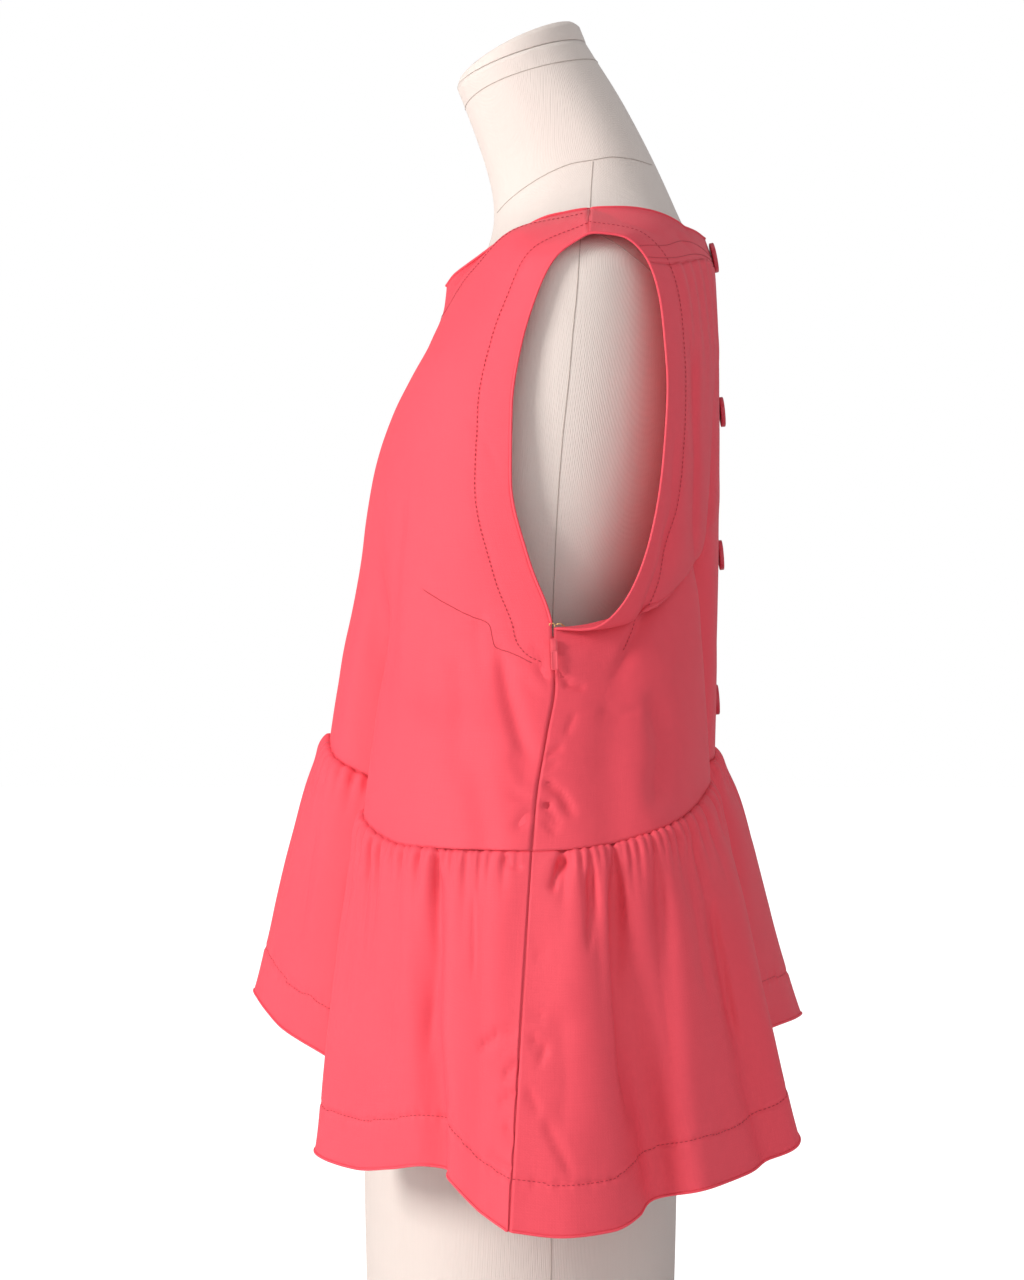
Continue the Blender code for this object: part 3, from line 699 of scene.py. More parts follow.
# a rolled edge or thread along a line
def roll(name, points, radius, finish=None, sides=8):
    points = np.asarray(points, float)
    first, second = framesAlong(points, False)
    angle = np.linspace(0, 2 * math.pi, sides, endpoint=False)
    size = np.full(len(points), radius)
    size[[0, -1]] = 0.35 * radius
    ring = first[:, None] * np.cos(angle)[None, :, None] + second[:, None] * np.sin(angle)[None, :, None]
    rings = points[:, None] + ring * size[:, None, None]
    faces = []
    for i in range(len(points) - 1):
        for j in range(sides):
            after = (j + 1) % sides
            faces.append((i * sides + j, i * sides + after, (i + 1) * sides + after, (i + 1) * sides + j))
    faces.append(tuple(range(sides))[::-1])
    last = (len(points) - 1) * sides
    faces.append(tuple(range(last, last + sides)))
    obj = meshOf(name, rings.reshape(-1, 3), faces)
    return finished(obj, "top_and_form", finish or clothFinish)


def spaced(points, normals, step):  # a line's points and normals at even steps
    points = np.asarray(points, float)
    length = np.concatenate([[0], np.cumsum(np.linalg.norm(np.diff(points, axis=0), axis=1))])
    at = np.arange(0.5 * step, length[-1], step)
    placed = np.stack([np.interp(at, length, points[:, k]) for k in range(3)], axis=1)
    facing = np.stack([np.interp(at, length, np.asarray(normals)[:, k]) for k in range(3)], axis=1)
    return placed, facing / np.linalg.norm(facing, axis=1, keepdims=True)


def grain():  # one stitch, modelled once: a short thread with sunk ends
    bpy.ops.object.select_all(action="DESELECT")
    bpy.ops.mesh.primitive_uv_sphere_add(segments=6, ring_count=4, radius=1.0)
    model = bpy.context.object
    points = np.array([vertex.co for vertex in model.data.vertices])[:, [2, 0, 1]]
    faces = [tuple(polygon.vertices) for polygon in model.data.polygons]
    bpy.data.objects.remove(model)
    return points, faces


stitch = {"pitch": 3.1, "length": 2.2, "thick": 0.62, "stand": 0.12}
grainPoints, grainFaces = grain()


def sewnRow(name, points, normals):  # a row of stitches along a line on the cloth
    placed, facing = spaced(points, normals, stitch["pitch"])
    ahead = np.gradient(placed, axis=0)
    ahead /= np.linalg.norm(ahead, axis=1, keepdims=True)
    across = np.cross(facing, ahead)
    size = np.array([0.5 * stitch["length"], 0.5 * stitch["thick"], 0.5 * stitch["thick"]])
    scaled = grainPoints * size
    grains = []
    for spot, way, side, out in zip(placed, ahead, across, facing):
        grains.append(spot + out * stitch["stand"] + scaled @ np.array([way, side, np.cross(way, side)]))
    count = len(grainPoints)
    faces = [tuple(corner + count * i for corner in face) for i in range(len(grains)) for face in grainFaces]
    obj = meshOf(name, np.concatenate(grains), faces)
    return finished(obj, "top_and_form", threadAndDartShadeFinish)


# where each line, read from its edge inwards, is this far from the edge
def insetLine(lines, normals, edge, distance):
    tree = KDTree(len(edge))
    for index, point in enumerate(edge):
        tree.insert(Vector(point), index)
    tree.balance()
    points, facing = [], []
    for line, normal in zip(lines, normals):
        before = tree.find(Vector(line[0]))[2]
        if before > distance:
            continue
        for index in range(1, len(line)):
            after = tree.find(Vector(line[index]))[2]
            if after >= distance:
                share = (distance - before) / (after - before)
                points.append(line[index - 1] * (1 - share) + line[index] * share)
                facing.append(normal[index - 1] * (1 - share) + normal[index] * share)
                break
            before = after
    return np.array(points), np.array(facing)


# a sewn line sunk in the cloth, with small puckers beside it
def grooved(grid, sign, path, half, deep, pucker):
    tree = KDTree(len(path))
    for index, point in enumerate(path):
        tree.insert(Vector(point), index)
    tree.balance()
    length = np.concatenate([[0], np.cumsum(np.linalg.norm(np.diff(path, axis=0), axis=1))])
    depth = np.zeros(grid.shape[:2])
    for place in np.ndindex(depth.shape):
        _, index, far = tree.find(Vector(grid[place]))
        if far < 4 * half:
            ripple = pucker * math.sin(length[index] / 1.35 + 1.7 * math.sin(length[index] / 21.0))
            depth[place] = deep * math.exp(-((far / half) ** 2)) + ripple * math.exp(-((far / (2.2 * half)) ** 2))
    normal = outward(grid) * sign
    return grid - normal * depth[:, :, None]


# named edges turned in, as a pressed seam allowance
def seamRolled(grid, sign, low=0.0, high=0.0, left=0.0, right=0.0):
    normal = outward(grid) * sign
    for depth, spot in ((low, "low"), (high, "high"), (left, "left"), (right, "right")):
        if not depth:
            continue
        if spot == "low":
            extra = grid[0] - normal[0] * depth
            grid = np.concatenate([extra[None], grid])
            normal = np.concatenate([normal[:1], normal])
        elif spot == "high":
            extra = grid[-1] - normal[-1] * depth
            grid = np.concatenate([grid, extra[None]])
            normal = np.concatenate([normal, normal[-1:]])
        elif spot == "left":
            extra = grid[:, 0] - normal[:, 0] * depth
            grid = np.concatenate([extra[:, None], grid], axis=1)
            normal = np.concatenate([normal[:, :1], normal], axis=1)
        else:
            extra = grid[:, -1] - normal[:, -1] * depth
            grid = np.concatenate([grid, extra[:, None]], axis=1)
            normal = np.concatenate([normal, normal[:, -1:]], axis=1)
    return grid


# Dress form


formSeams = {
    "radius": 0.3,
    "cap": {"low": 372.0, "rise": 31.0, "centre": 8.0, "reach": 90.0},
    # seam lines of the cover where the camera sees them, in its pixels
    "lines": {
        "neck_seam": ((497, 213), (507, 202), (530, 184), (555, 170), (574, 163), (593, 160), (612, 157),
        (631, 159), (652, 165)),
        "shoulder_seam": ((593, 161), (592, 175), (591, 190), (590, 212)),
        "side_seam": ((581, 232), (577, 290), (573, 330), (569, 377), (562, 444), (557, 515), (555, 560),
        (553, 613), (552, 700), (551, 860), (551, 1040), (551, 1200), (551, 1290)),
        "arm_seam": ((597, 233), (618, 245), (640, 262), (656, 276), (668, 290)),
    },
}


def smoothForm():
    source = cadNodes["dress_form"]
    bpy.ops.object.select_all(action="DESELECT")
    body = bpy.data.objects.new("covered_form", source.data.copy())
    body.data.transform(source.matrix_world)
    bpy.context.scene.collection.objects.link(body)
    body.select_set(True)
    bpy.context.view_layer.objects.active = body
    bpy.ops.object.mode_set(mode="EDIT")
    bpy.ops.mesh.select_all(action="SELECT")
    bpy.ops.mesh.remove_doubles(threshold=0.00002)
    bpy.ops.mesh.tris_convert_to_quads(face_threshold=0.9, shape_threshold=1.2)
    bpy.ops.object.mode_set(mode="OBJECT")
    crease = body.data.attributes.new("crease_edge", "FLOAT", "EDGE")
    shape = bmesh.new()
    shape.from_mesh(body.data)
    for edge in shape.edges:
        if edge.calc_face_angle(0.0) > 0.8:  # the base's and the neck's rims stay sharp
            crease.data[edge.index].value = 1.0
    shape.free()
    round_ = body.modifiers.new("rounded", "SUBSURF")
    round_.levels = 2
    round_.render_levels = 2
    applied(body)
    body.data.polygons.foreach_set("use_smooth", [True] * len(body.data.polygons))
    finished(body, "top_and_form", coverFinish)
    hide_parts("dress_form")
    corners = [np.array(vertex.co) / mm - [0, 0, level] for vertex in body.data.vertices]
    return body, BVHTree.FromPolygons(corners, [tuple(polygon.vertices) for polygon in body.data.polygons])


def smoothCap():
    source = cadNodes["form_cap"]
    body = bpy.data.objects.new("neck_cap", source.data.copy())
    body.data.transform(source.matrix_world)
    bpy.context.scene.collection.objects.link(body)
    bpy.ops.object.select_all(action="DESELECT")
    body.select_set(True)
    bpy.context.view_layer.objects.active = body
    bpy.ops.object.mode_set(mode="EDIT")
    bpy.ops.mesh.select_all(action="SELECT")
    bpy.ops.mesh.remove_doubles(threshold=0.00002)
    bpy.ops.mesh.dissolve_limited(angle_limit=math.radians(1.0))
    bpy.ops.object.mode_set(mode="OBJECT")
    rim = body.modifiers.new("soft_rim", "BEVEL")
    rim.width = 0.0016
    rim.segments = 3
    rim.limit_method = "ANGLE"
    rim.angle_limit = math.radians(25)
    applied(body)
    bpy.ops.object.select_all(action="DESELECT")
    body.select_set(True)
    bpy.context.view_layer.objects.active = body
    bpy.ops.object.shade_smooth_by_angle(angle=math.radians(40))
    finished(body, "top_and_form", coverFinish)
    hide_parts("form_cap")


def onForm(column, row):  # where the camera's pixel meets the form
    eye = Vector((view["distance"] / mm, 0.0, 0.0))
    aimed = Vector((0.0, (column - 0.5 * view["width"]) * view["mmPerPixel"],
        (0.5 * view["height"] - row) * view["mmPerPixel"]))
    hit, normal, _, _ = formTree.ray_cast(eye, (aimed - eye).normalized())
    return (np.array(hit), np.array(normal)) if hit else None


def coverSeams():
    for name, line in formSeams["lines"].items():
        dense = rounded([(column, row, 0.0) for column, row in line],
            np.linspace(0, 1, 14 * (len(line) - 1)))
        hits = [onForm(column, row) for column, row, _ in dense]
        hits = [hit for hit in hits if hit is not None and hit[0][2] > -464.0]
        points = np.array([hit[0] + hit[1] * 0.12 for hit in hits])
        for side, way in (("left", 1), ("right", -1)):
            roll(f"form_{name}_{side}", points * [way, 1, 1], formSeams["radius"], seamFinish, 6)
    cap = formSeams["cap"]
    ring = []
    for angle in np.linspace(0, 2 * math.pi, 90):
        way = Vector((math.sin(angle), -math.cos(angle), 0.0))
        height = cap["low"] + cap["rise"] * (0.5 - 0.5 * math.cos(angle))
        start = Vector((0.0, cap["centre"], height)) + way * cap["reach"]
        hit, normal, _, _ = formTree.ray_cast(start, -way)
        if hit:
            ring.append(np.array(hit) + np.array(normal) * 0.1)
    roll("form_cap_seam", np.array(ring), formSeams["radius"], seamFinish, 6)


coveredForm, formTree = smoothForm()
smoothCap()
coverSeams()
print("dress form is covered")


# Bodice

frontPanel = {
    "columns": 200, "rows": 176, "wall": 1.0, "rest": 1.9, "facing": 25.0, "cut": (0.62, 0.47),
    # creases: line in the picture, half width and depth, lean to one side
    "creases": (
        (((405, 470), (397, 560), (393, 640), (392, 735)), 6.0, 1.6, 0.3),
        (((379, 470), (377, 560), (375, 700)), 7.0, 1.2, 0.0),
        (((455, 630), (459, 700), (456, 800)), 15.0, 2.2, 0.0),
        (((497, 640), (505, 690), (519, 740), (535, 784)), 7.0, 3.6, -0.35),
        (((511, 748), (531, 786)), 3.2, 1.8, 0.3),
        (((513, 832), (535, 804)), 3.4, 2.0, 0.3),
        (((507, 793), (533, 798)), 3.0, 1.2, 0.0),
        (((528, 643), (552, 661)), 2.8, 1.3, 0.0),
        (((532, 656), (554, 675)), 2.8, 1.6, 0.2),
        (((537, 664), (555, 687)), 3.0, 1.6, 0.2),
        (((520, 676), (540, 700)), 3.4, 0.8, 0.0),
        (((466, 412), (484, 440), (502, 476)), 3.4, 0.7, 0.0),
        (((430, 610), (424, 660), (428, 730)), 12.0, 1.2, 0.0),
        (((482, 600), (478, 640), (482, 690)), 7.0, 0.9, 0.0),
    ),
    "dart": ((422, 589), (436, 598), (452, 607), (470, 616), (489, 624), (494, 646), (512, 653),
    (533, 663)),
}
backPanels = {
    "columns": 118, "rows": 160, "wall": 1.0, "rest": 1.9, "cut": (0.36, 0.43), "yokeCut": (0.20, 0.075),
    "creases": (
        (((676, 500), (665, 560), (645, 615), (618, 668), (607, 694)), 8.0, 3.0, -0.4),
        (((556, 670), (571, 686)), 2.8, 1.4, 0.0),
        (((562, 682), (588, 688)), 3.0, 1.5, 0.3),
        (((565, 737), (576, 710)), 3.2, 1.0, 0.0),
        (((543, 757), (565, 745)), 3.0, 1.3, 0.0),
        (((545, 768), (560, 762)), 2.4, 0.9, 0.0),
        (((541, 778), (563, 794), (577, 820)), 4.0, 2.2, 0.3),
        (((543, 798), (562, 830)), 3.4, 1.6, 0.2),
        (((543, 818), (558, 836)), 2.8, 1.4, 0.0),
        (((540, 806), (556, 800)), 2.6, 0.9, 0.0),
        (((596, 706), (620, 714), (650, 704)), 7.0, 0.9, 0.3),
        (((652, 680), (662, 745), (655, 820)), 13.0, 3.4, -0.3),
        (((688, 300), (697, 370), (699, 460), (695, 600)), 4.5, 2.6, 0.5),
        (((676, 420), (673, 520), (668, 600)), 6.0, 1.4, 0.0),
    ),
}
# far side: share of the near side's depth, and how far it is moved, in pixels
farSide = {"share": 0.75, "shift": 9.0}


def heightsFor(rows, top):
    return np.linspace(0, top, rows)


def armholeEdge(grid, heights, start, column):
    return grid[heights >= start, column]


def makeFront():
    spec = frontPanel
    shares = np.linspace(-1, 1, spec["columns"] + 1)
    for value in (-neckShare, neckShare):
        shares[np.argmin(np.abs(shares - value))] = value
    heights = heightsFor(spec["rows"], 1.0)
    grid = smoothed(frontGrid(shares, heights), 4)
    grid = creased(grid, 1, spec["creases"], farSide["share"], farSide["shift"])
    grid = uneven(grid, 1, 46.0, 1.0, 3.1)
    grid = uneven(grid, 1, 15.0, 0.22, 9.4)
    grid = restingOn(grid, spec["rest"])
    grid = smoothed(grid, 2)
    underarm = (rowKnots(frontRows) * 0.93)[underarmRow]
    normal = outward(grid)
    neck = grid[-1, np.abs(shares) <= neckShare + 1e-6]
    down = grid.transpose(1, 0, 2)[:, ::-1]
    lines = {"neck": insetLine(down, normal.transpose(1, 0, 2)[:, ::-1], neck, spec["facing"])}
    for side, column, ordered in (("left", -1, np.s_[:, ::-1]), ("right", 0, np.s_[:, :])):
        edge = armholeEdge(grid, heights, underarm, column)
        lines["arm_" + side] = insetLine(grid[ordered], normal[ordered], edge, spec["facing"])
    for path, _ in lines.values():
        grid = grooved(grid, 1, path, 2.6, 0.45, 0.16)
    dart = onCloth(grid, spec["dart"], 2.0)
    for side in (1, -1):
        grid = grooved(grid, 1, dart * [side, 1, 1], 2.4, 0.6, 0.1)
    panel = clothPanel("front_panel", seamRolled(grid, 1, 0, 0, 0.35, 0.35), 1, spec["wall"])
    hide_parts("front_bodice")
    trim, edges = [], {}
    for name, (path, facing) in lines.items():
        trim.append(sewnRow("front_stitches_" + name, path, facing))
    for side, way in (("left", 1), ("right", -1)):
        # painted shade: a thin dark tube sunk along each dart line stands in for the shadow in the dart fold
        trim.append(roll("dart_shade_line_" + side, onGrid(grid, 1, dart * [way, 1, 1], 0.05), 0.32, threadAndDartShadeFinish, 5))
        edges["arm_" + side] = armholeEdge(grid, heights, underarm, -1 if way > 0 else 0)
    edges["neck"] = neck
    return panel, trim, grid, edges


def onCloth(grid, line, step):  # a line of the picture laid on the near side of a panel
    near = grid[:, grid.shape[1] // 2:] if grid[0, -1, 0] > 0 else grid[:, :grid.shape[1] // 2]
    place = inPicture(near)
    flat = place.reshape(-1, 2)
    points = near.reshape(-1, 3)
    tree = KDTree(len(flat))
    for index, (column, row) in enumerate(flat):
        tree.insert(Vector((column, row, 0.0)), index)
    tree.balance()
    dense = rounded([(column, row, 0.0) for column, row in line], np.linspace(0, 1, 60))
    found = []
    for column, row, _ in dense:
        close = tree.find_n(Vector((column, row, 0.0)), 4)
        weights = np.array([1.0 / (far + 0.01) for _, _, far in close])
        found.append((points[[index for _, index, _ in close]] * weights[:,
            None]).sum(axis=0) / weights.sum())
    found = np.array(found)
    for _ in range(3):
        found[1:-1] = 0.5 * found[1:-1] + 0.25 * (found[:-2] + found[2:])
    return found


def onGrid(grid, sign, points, stand):  # points moved onto the grid's nearest surface
    normal = (outward(grid) * sign).reshape(-1, 3)
    flat = grid.reshape(-1, 3)
    tree = KDTree(len(flat))
    for index, point in enumerate(flat):
        tree.insert(Vector(point), index)
    tree.balance()
    moved = []
    for point in points:
        near, index, _ = tree.find(Vector(point))
        height = (point - flat[index]) @ normal[index]
        moved.append(point - normal[index] * (height - stand))
    return np.array(moved)


def makeBack():
    spec = backPanels
    panels, trim = {}, []
    past = lap / 245.0
    heights = heightsFor(spec["rows"], 1.0)
    yokeHeights = 1 + yokeShare * np.linspace(0, 1, 26)
    for side, way in (("left", 1), ("right", -1)):
        shares = np.sort(way * np.concatenate([[-past, -0.5 * past, 0.0, 0.6 * past],
            np.linspace(past * 1.3, 1.0, spec["columns"])]))
        grid = smoothed(backGrid(shares, heights), 3)
        grid = creased(grid, -1, spec["creases"], farSide["share"], farSide["shift"])
        grid = uneven(grid, -1, 42.0, 1.1, 5.7)
        grid = uneven(grid, -1, 14.0, 0.22, 2.2)
        yoke = backSurface(shares, yokeHeights)
        grid, yoke = restingOn(grid, spec["rest"]), restingOn(yoke, spec["rest"])
        if way < 0:
            grid, yoke = insetLap(grid), insetLap(yoke)
        whole = np.concatenate([grid, yoke[1:]])
        allHeights = np.concatenate([heights, yokeHeights[1:]])
        normal = -outward(whole)
        column = -1 if way > 0 else 0
        ordered = np.s_[:, ::-1] if way > 0 else np.s_[:, :]
        underarm = rowKnots(backRows)[underarmRow]
        edge = armholeEdge(whole, allHeights, underarm, column)
        path, facing = insetLine(whole[ordered], normal[ordered], edge, frontPanel["facing"])
        grid = grooved(grid, -1, path, 2.6, 0.45, 0.16)
        sideDepth = (0, 0.7) if way > 0 else (0.7, 0)
        panel = clothPanel("back_panel_" + side, seamRolled(grid, -1, 0, 1.1, *sideDepth), -1, spec["wall"])
        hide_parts("back_bodice_" + side)
        yokePanel = clothPanel("yoke_panel_" + side, seamRolled(yoke, -1, 1.1, 0, 0, 0), -1, spec["wall"])
        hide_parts("back_yoke_" + side)
        trim.append(sewnRow("back_stitches_arm_" + side, path, facing))
        for row, label in ((2, "low"), (6, "high")):
            trim.append(sewnRow(f"yoke_stitches_{label}_{side}", yoke[row], -outward(yoke)[row]))
        trim.append(roll("armhole_edge_" + side,
            eased(np.concatenate([frontEdges["arm_" + side], edge[::-1]])), 0.95))
        trim.append(roll("back_neck_edge_" + side, yoke[-1, np.abs(shares) <= neckShare + 0.004], 0.85))
        trim.append(roll("back_opening_edge_" + side, whole[:, 0 if way > 0 else -1], 0.8))
        panels[side] = (panel, yokePanel, grid, yoke)
    return panels, trim


def eased(line):  # a line with its kinks taken out
    line = line.copy()
    for _ in range(10):
        line[1:-1] = 0.5 * line[1:-1] + 0.25 * (line[:-2] + line[2:])
    return line


frontBodice, frontTrim, frontFinal, frontEdges = makeFront()
frontTrim.append(roll("front_neck_edge", frontEdges["neck"], 0.85))
print("front bodice is sewn")
backPieces, backTrim = makeBack()
print("back bodice and yokes are sewn")


# Peplum

peplum = {
    "columns": 470, "wall": 1.0, "hem": 31.0, "cut": {"front": (0.78, 0.235), "back": (0.88, 0.24)},
    # gathers on the near side: place along the seam in the picture's columns, depth, share of the height it runs
    "front": ((384, 2.8, 0.30), (391, 1.4, 0.10), (397, 2.4, 0.16), (406, 2.6, 0.22), (412, 1.8, 0.12),
    (422, 3.2, 0.20),
              (429, 1.5, 0.10), (438, 4.2, 0.55), (446, 2.6, 0.16), (453, 2.8, 0.22), (460, 1.6, 0.10),
              (467, 2.8, 0.26),
              (474, 1.5, 0.10), (481, 2.2, 0.14), (492, 1.4, 0.09), (505, 1.8, 0.12), (518, 0.8, 0.06)),
    "back": ((563, 3.6, 0.16), (571, 1.6, 0.10), (580, 2.4, 0.18), (589, 2.8, 0.34), (597, 1.8, 0.12),
    (605, 2.0, 0.12),
             (613, 4.2, 0.60), (620, 1.8, 0.12), (627, 2.4, 0.20), (635, 2.2, 0.18), (643, 1.8, 0.12),
             (650, 3.0, 0.34),
             (657, 2.0, 0.14), (664, 2.2, 0.18), (671, 2.6, 0.24), (678, 2.0, 0.14), (684, 2.6, 0.30),
             (691, 2.2, 0.18),
             (698, 2.4, 0.24), (705, 2.2, 0.2)),
    "half": 1.7,
    "spread": 7.0,
    "strength": 2.0,
    "swell": 2.2,
    "frontCreases": (
        (((440, 850), (441, 910), (436, 975), (427, 1070)), 7.0, 1.8, 0.0),
        (((473, 884), (474, 940), (474, 988)), 2.4, 0.9, 0.3),
        (((475, 1050), (498, 1033), (523, 1034)), 3.6, 1.9, 0.3),
        (((500, 1078), (516, 1065), (526, 1084)), 3.4, 1.9, 0.0),
        (((496, 1103), (524, 1090)), 3.4, 1.4, 0.2),
        (((503, 1122), (519, 1154)), 3.6, 1.3, 0.0),
        (((484, 1150), (500, 1163), (534, 1178)), 3.0, 1.1, 0.2),
        (((504, 853), (510, 865), (525, 867)), 2.8, 1.2, 0.3),
        (((357, 860), (349, 960), (340, 1045)), 8.0, 2.2, 0.0),
        (((398, 870), (392, 980), (380, 1100)), 10.0, 2.0, 0.2),
        (((318, 800), (306, 880), (296, 960)), 6.0, 1.8, 0.0),
    ),
    "backCreases": (
        (((566, 855), (556, 880), (552, 896)), 4.2, 2.6, 0.3),
        (((591, 862), (593, 905), (590, 958)), 4.0, 2.4, 0.3),
        (((613, 850), (615, 922), (619, 996), (625, 1070), (633, 1140)), 7.0, 4.4, -0.45),
        (((660, 845), (662, 930), (668, 1030), (674, 1110)), 14.0, 3.0, 0.0),
        (((712, 890), (727, 977), (741, 1058)), 4.4, 3.4, 0.5),
        (((541, 1118), (558, 1150), (575, 1182)), 4.6, 1.7, -0.3),
        (((527, 1036), (547, 1050), (534, 1068)), 3.4, 1.9, 0.2),
        (((528, 1012), (547, 1018)), 2.8, 1.0, 0.0),
        (((526, 1090), (542, 1114)), 3.4, 1.6, 0.2),
        (((534, 956), (550, 951)), 3.0, 0.8, 0.0),
        (((684, 835), (702, 930), (716, 1030)), 7.0, 2.2, 0.2),
        (((560, 1000), (566, 1080), (562, 1150)), 16.0, 1.8, 0.0),
    ),
}


# share, depth and length of every gather: the near side's, and a like set elsewhere
def gatherList(waist, shares, table, seed):
    picture = inPicture(waist)[:, 0]
    start = 0.5 if table[0][0] < 500 else 0.47
    near = shares > start
    order = np.argsort(picture[near])
    gathers = []
    for column, deep, run in table:
        gathers.append((float(np.interp(column, picture[near][order], shares[near][order])), deep, run))
    dice = np.random.RandomState(seed)
    gathers += [(-share + dice.uniform(-0.006, 0.006), deep * dice.uniform(0.7, 1.1),
        run * dice.uniform(0.7, 1.2)) for share, deep, run in gathers]
    edge = min(abs(share) for share, _, _ in gathers) - 0.02
    share = -edge
    while share < edge:
        gathers.append((share, dice.uniform(1.6, 3.2), dice.choice([0.12, 0.16, 0.2, 0.3, 0.45])))
        share += dice.uniform(0.018, 0.040)
    return gathers


def peplumBase(piece, shares, heights):
    hemRows = np.array(frontHem if piece == "peplum_front" else backHem, float)
    sign = 1 if piece == "peplum_front" else -1
    waist = waistLine(piece, shares)
    part = np.where(shares < 0, np.abs(shares) ** 1.07, np.abs(shares))
    mirrored = hemRows[1:3][::-1] * [-1, -1, 1, 1]
    hemRows = np.concatenate([mirrored, hemRows])
    hem = monotone(hemRows[:, 0], hemRows[:, 1:], part)
    hem[:, 0] *= np.sign(shares)
    grid = waist + (hem - waist) * heights[:, None, None]
    normal = outward(grid) * -sign
    puff = peplumPuff * 2.6 * heights ** 0.6 * (1 - heights) ** 1.6
    side = ease((1 - np.abs(shares)) / 0.12) * 0.75 + 0.25
    grid = grid + normal * (puff[:, None] * side[None, :])[:, :, None]
    return pressed(piece, grid, shares, heights, -sign)


def makePeplum(piece, table, creases, seed):
    sign = -1 if piece == "peplum_front" else 1
    shares = np.linspace(-1, 1, peplum["columns"] + 1)
    heights = np.concatenate([np.linspace(0, 0.12, 20), np.linspace(0.12, 0.835, 46)[1:],
        np.linspace(0.835, 0.915, 17)[1:], np.linspace(0.915, 1, 12)[1:]])
    grid = smoothed(peplumBase(piece, shares, heights), 3)
    reach = np.linalg.norm(np.diff(grid[0], axis=0), axis=1).sum() / 2
    depth = np.zeros(grid.shape[:2])
    for share, deep, run in gatherList(grid[0], shares, table, seed):
        half = peplum["half"] / reach * (1 + peplum["spread"] * heights) * (0.75 + 0.16 * deep)
        run = run if run >= 0.3 else 0.55 * run
        drift = share + 0.010 * math.sin(40 * share) * heights
        fall = peplum["strength"] * np.exp(-((heights / run) ** 1.4)) * (0.45 + 0.55 * ease(heights / 0.04))
        depth += deep * fall[:, None] * np.exp(-(np.abs((shares[None, :] - drift[:, None]) / half[:,
            None]) ** 1.45))
    swell = peplum["swell"] * np.exp(-((heights - 0.035) / 0.045) ** 2)
    depth -= swell[:, None] * ease((0.95 - np.abs(shares)) / 0.06)[None, :]
    normal = outward(grid) * sign
    grid = grid - normal * depth[:, :, None]
    grid = creased(grid, sign, creases, farSide["share"], farSide["shift"])
    grid = uneven(grid, sign, 50.0, 1.4, 8.8 + seed)
    grid = uneven(grid, sign, 16.0, 0.3, 4.4 + seed)
    fromHem = np.linalg.norm(np.diff(grid, axis=0), axis=2)[::-1].cumsum(axis=0)[::-1]
    fromHem = np.concatenate([fromHem, np.zeros((1, grid.shape[1]))])
    along = np.concatenate([[0], np.cumsum(np.linalg.norm(np.diff(grid[-1], axis=0), axis=1))])
    pucker = 0.35 * np.sin(along / 1.3 + 2.0 * np.sin(along / 19.0)) + 0.3 * np.sin(along / 3.1 + 1.3 * np.sin(along / 33.0))
    past = fromHem - peplum["hem"]
    relief = 0.45 * ease((-past + 0.6) / 1.4) - 0.7 * np.exp(-((past / 1.6) ** 2))
    relief = relief + pucker[None, :] * np.exp(-((past / 4.5) ** 2)) * 0.8
    normal = outward(grid) * sign
    grid = grid + normal * relief[:, :, None]
    path, facing = [], []
    for column in range(grid.shape[1]):
        row = int(np.argmin(np.abs(past[:, column])))
        path.append(grid[row, column])
        facing.append(normal[row, column])
    tucked = grid.copy()
    tucked[0] -= normal[0] * 0.6
    name = "front_peplum" if piece == "peplum_front" else "back_peplum"
    lead = tucked[0] + (tucked[0] - tucked[1]) * 0.9 - normal[0] * 0.9
    rolledGrid = seamRolled(np.concatenate([lead[None], tucked]), sign, 0, 0, 0.35, 0.35)
    panel = clothPanel(name, rolledGrid, sign, peplum["wall"])
    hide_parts(piece)
    trim = [sewnRow(name + "_hem_stitches", np.array(path), np.array(facing)),
        roll(name + "_hem_edge", grid[-1], 0.8)]
    return panel, trim, grid


frontPeplum, frontPeplumTrim, frontPeplumFinal = makePeplum("peplum_front", peplum["front"],
    peplum["frontCreases"], 11)
backPeplum, backPeplumTrim, backPeplumFinal = makePeplum("peplum_back", peplum["back"],
    peplum["backCreases"], 23)
print("peplum is gathered and hemmed")


def evenly(line, count):
    length = np.concatenate([[0], np.cumsum(np.linalg.norm(np.diff(line, axis=0), axis=1))])
    at = np.linspace(0, length[-1], count)
    return np.stack([np.interp(at, length, line[:, k]) for k in range(3)], axis=1)


# pressed seam allowance behind a seam, from a line on each side of it
def allowance(name, first, second, third, sign, inset):
    ribbon = np.stack([evenly(line, 150) for line in (first, second, third)], axis=1)
    ribbon = ribbon - (outward(ribbon) * sign) * inset
    return clothPanel(name, ribbon, sign, 0.5)


seamPlan = {"top": 4.0, "sideInset": 0.75, "waistInset": 1.3}
seamTrim = {"front": [], "peplum": []}
for side, column, inner in (("left", -1, -5), ("right", 0, 4)):
    back = backPieces[side][2]
    belowArm = frontFinal[frontFinal[:, column, 2] <= seamPlan["top"]]
    frontLine, seamLine = belowArm[:, inner], belowArm[:, column]
    backLine = back[back[:, column, 2] <= seamPlan["top"]][:, inner]
    ordered = (frontLine, seamLine, backLine)
    flip = 1 if side == "left" else -1
    seamTrim["front"].append(allowance("side_allowance_" + side, *ordered, flip, seamPlan["sideInset"]))
    peplumLines = (frontPeplumFinal[:, inner], frontPeplumFinal[:, column], backPeplumFinal[:, inner])
    seamTrim["peplum"].append(allowance("peplum_allowance_" + side, *peplumLines, -flip,
        seamPlan["sideInset"]))
seamTrim["front"].append(
    allowance("waist_allowance_front", frontPeplumFinal[3], frontPeplumFinal[0], frontFinal[3], -1,
    seamPlan["waistInset"])
)
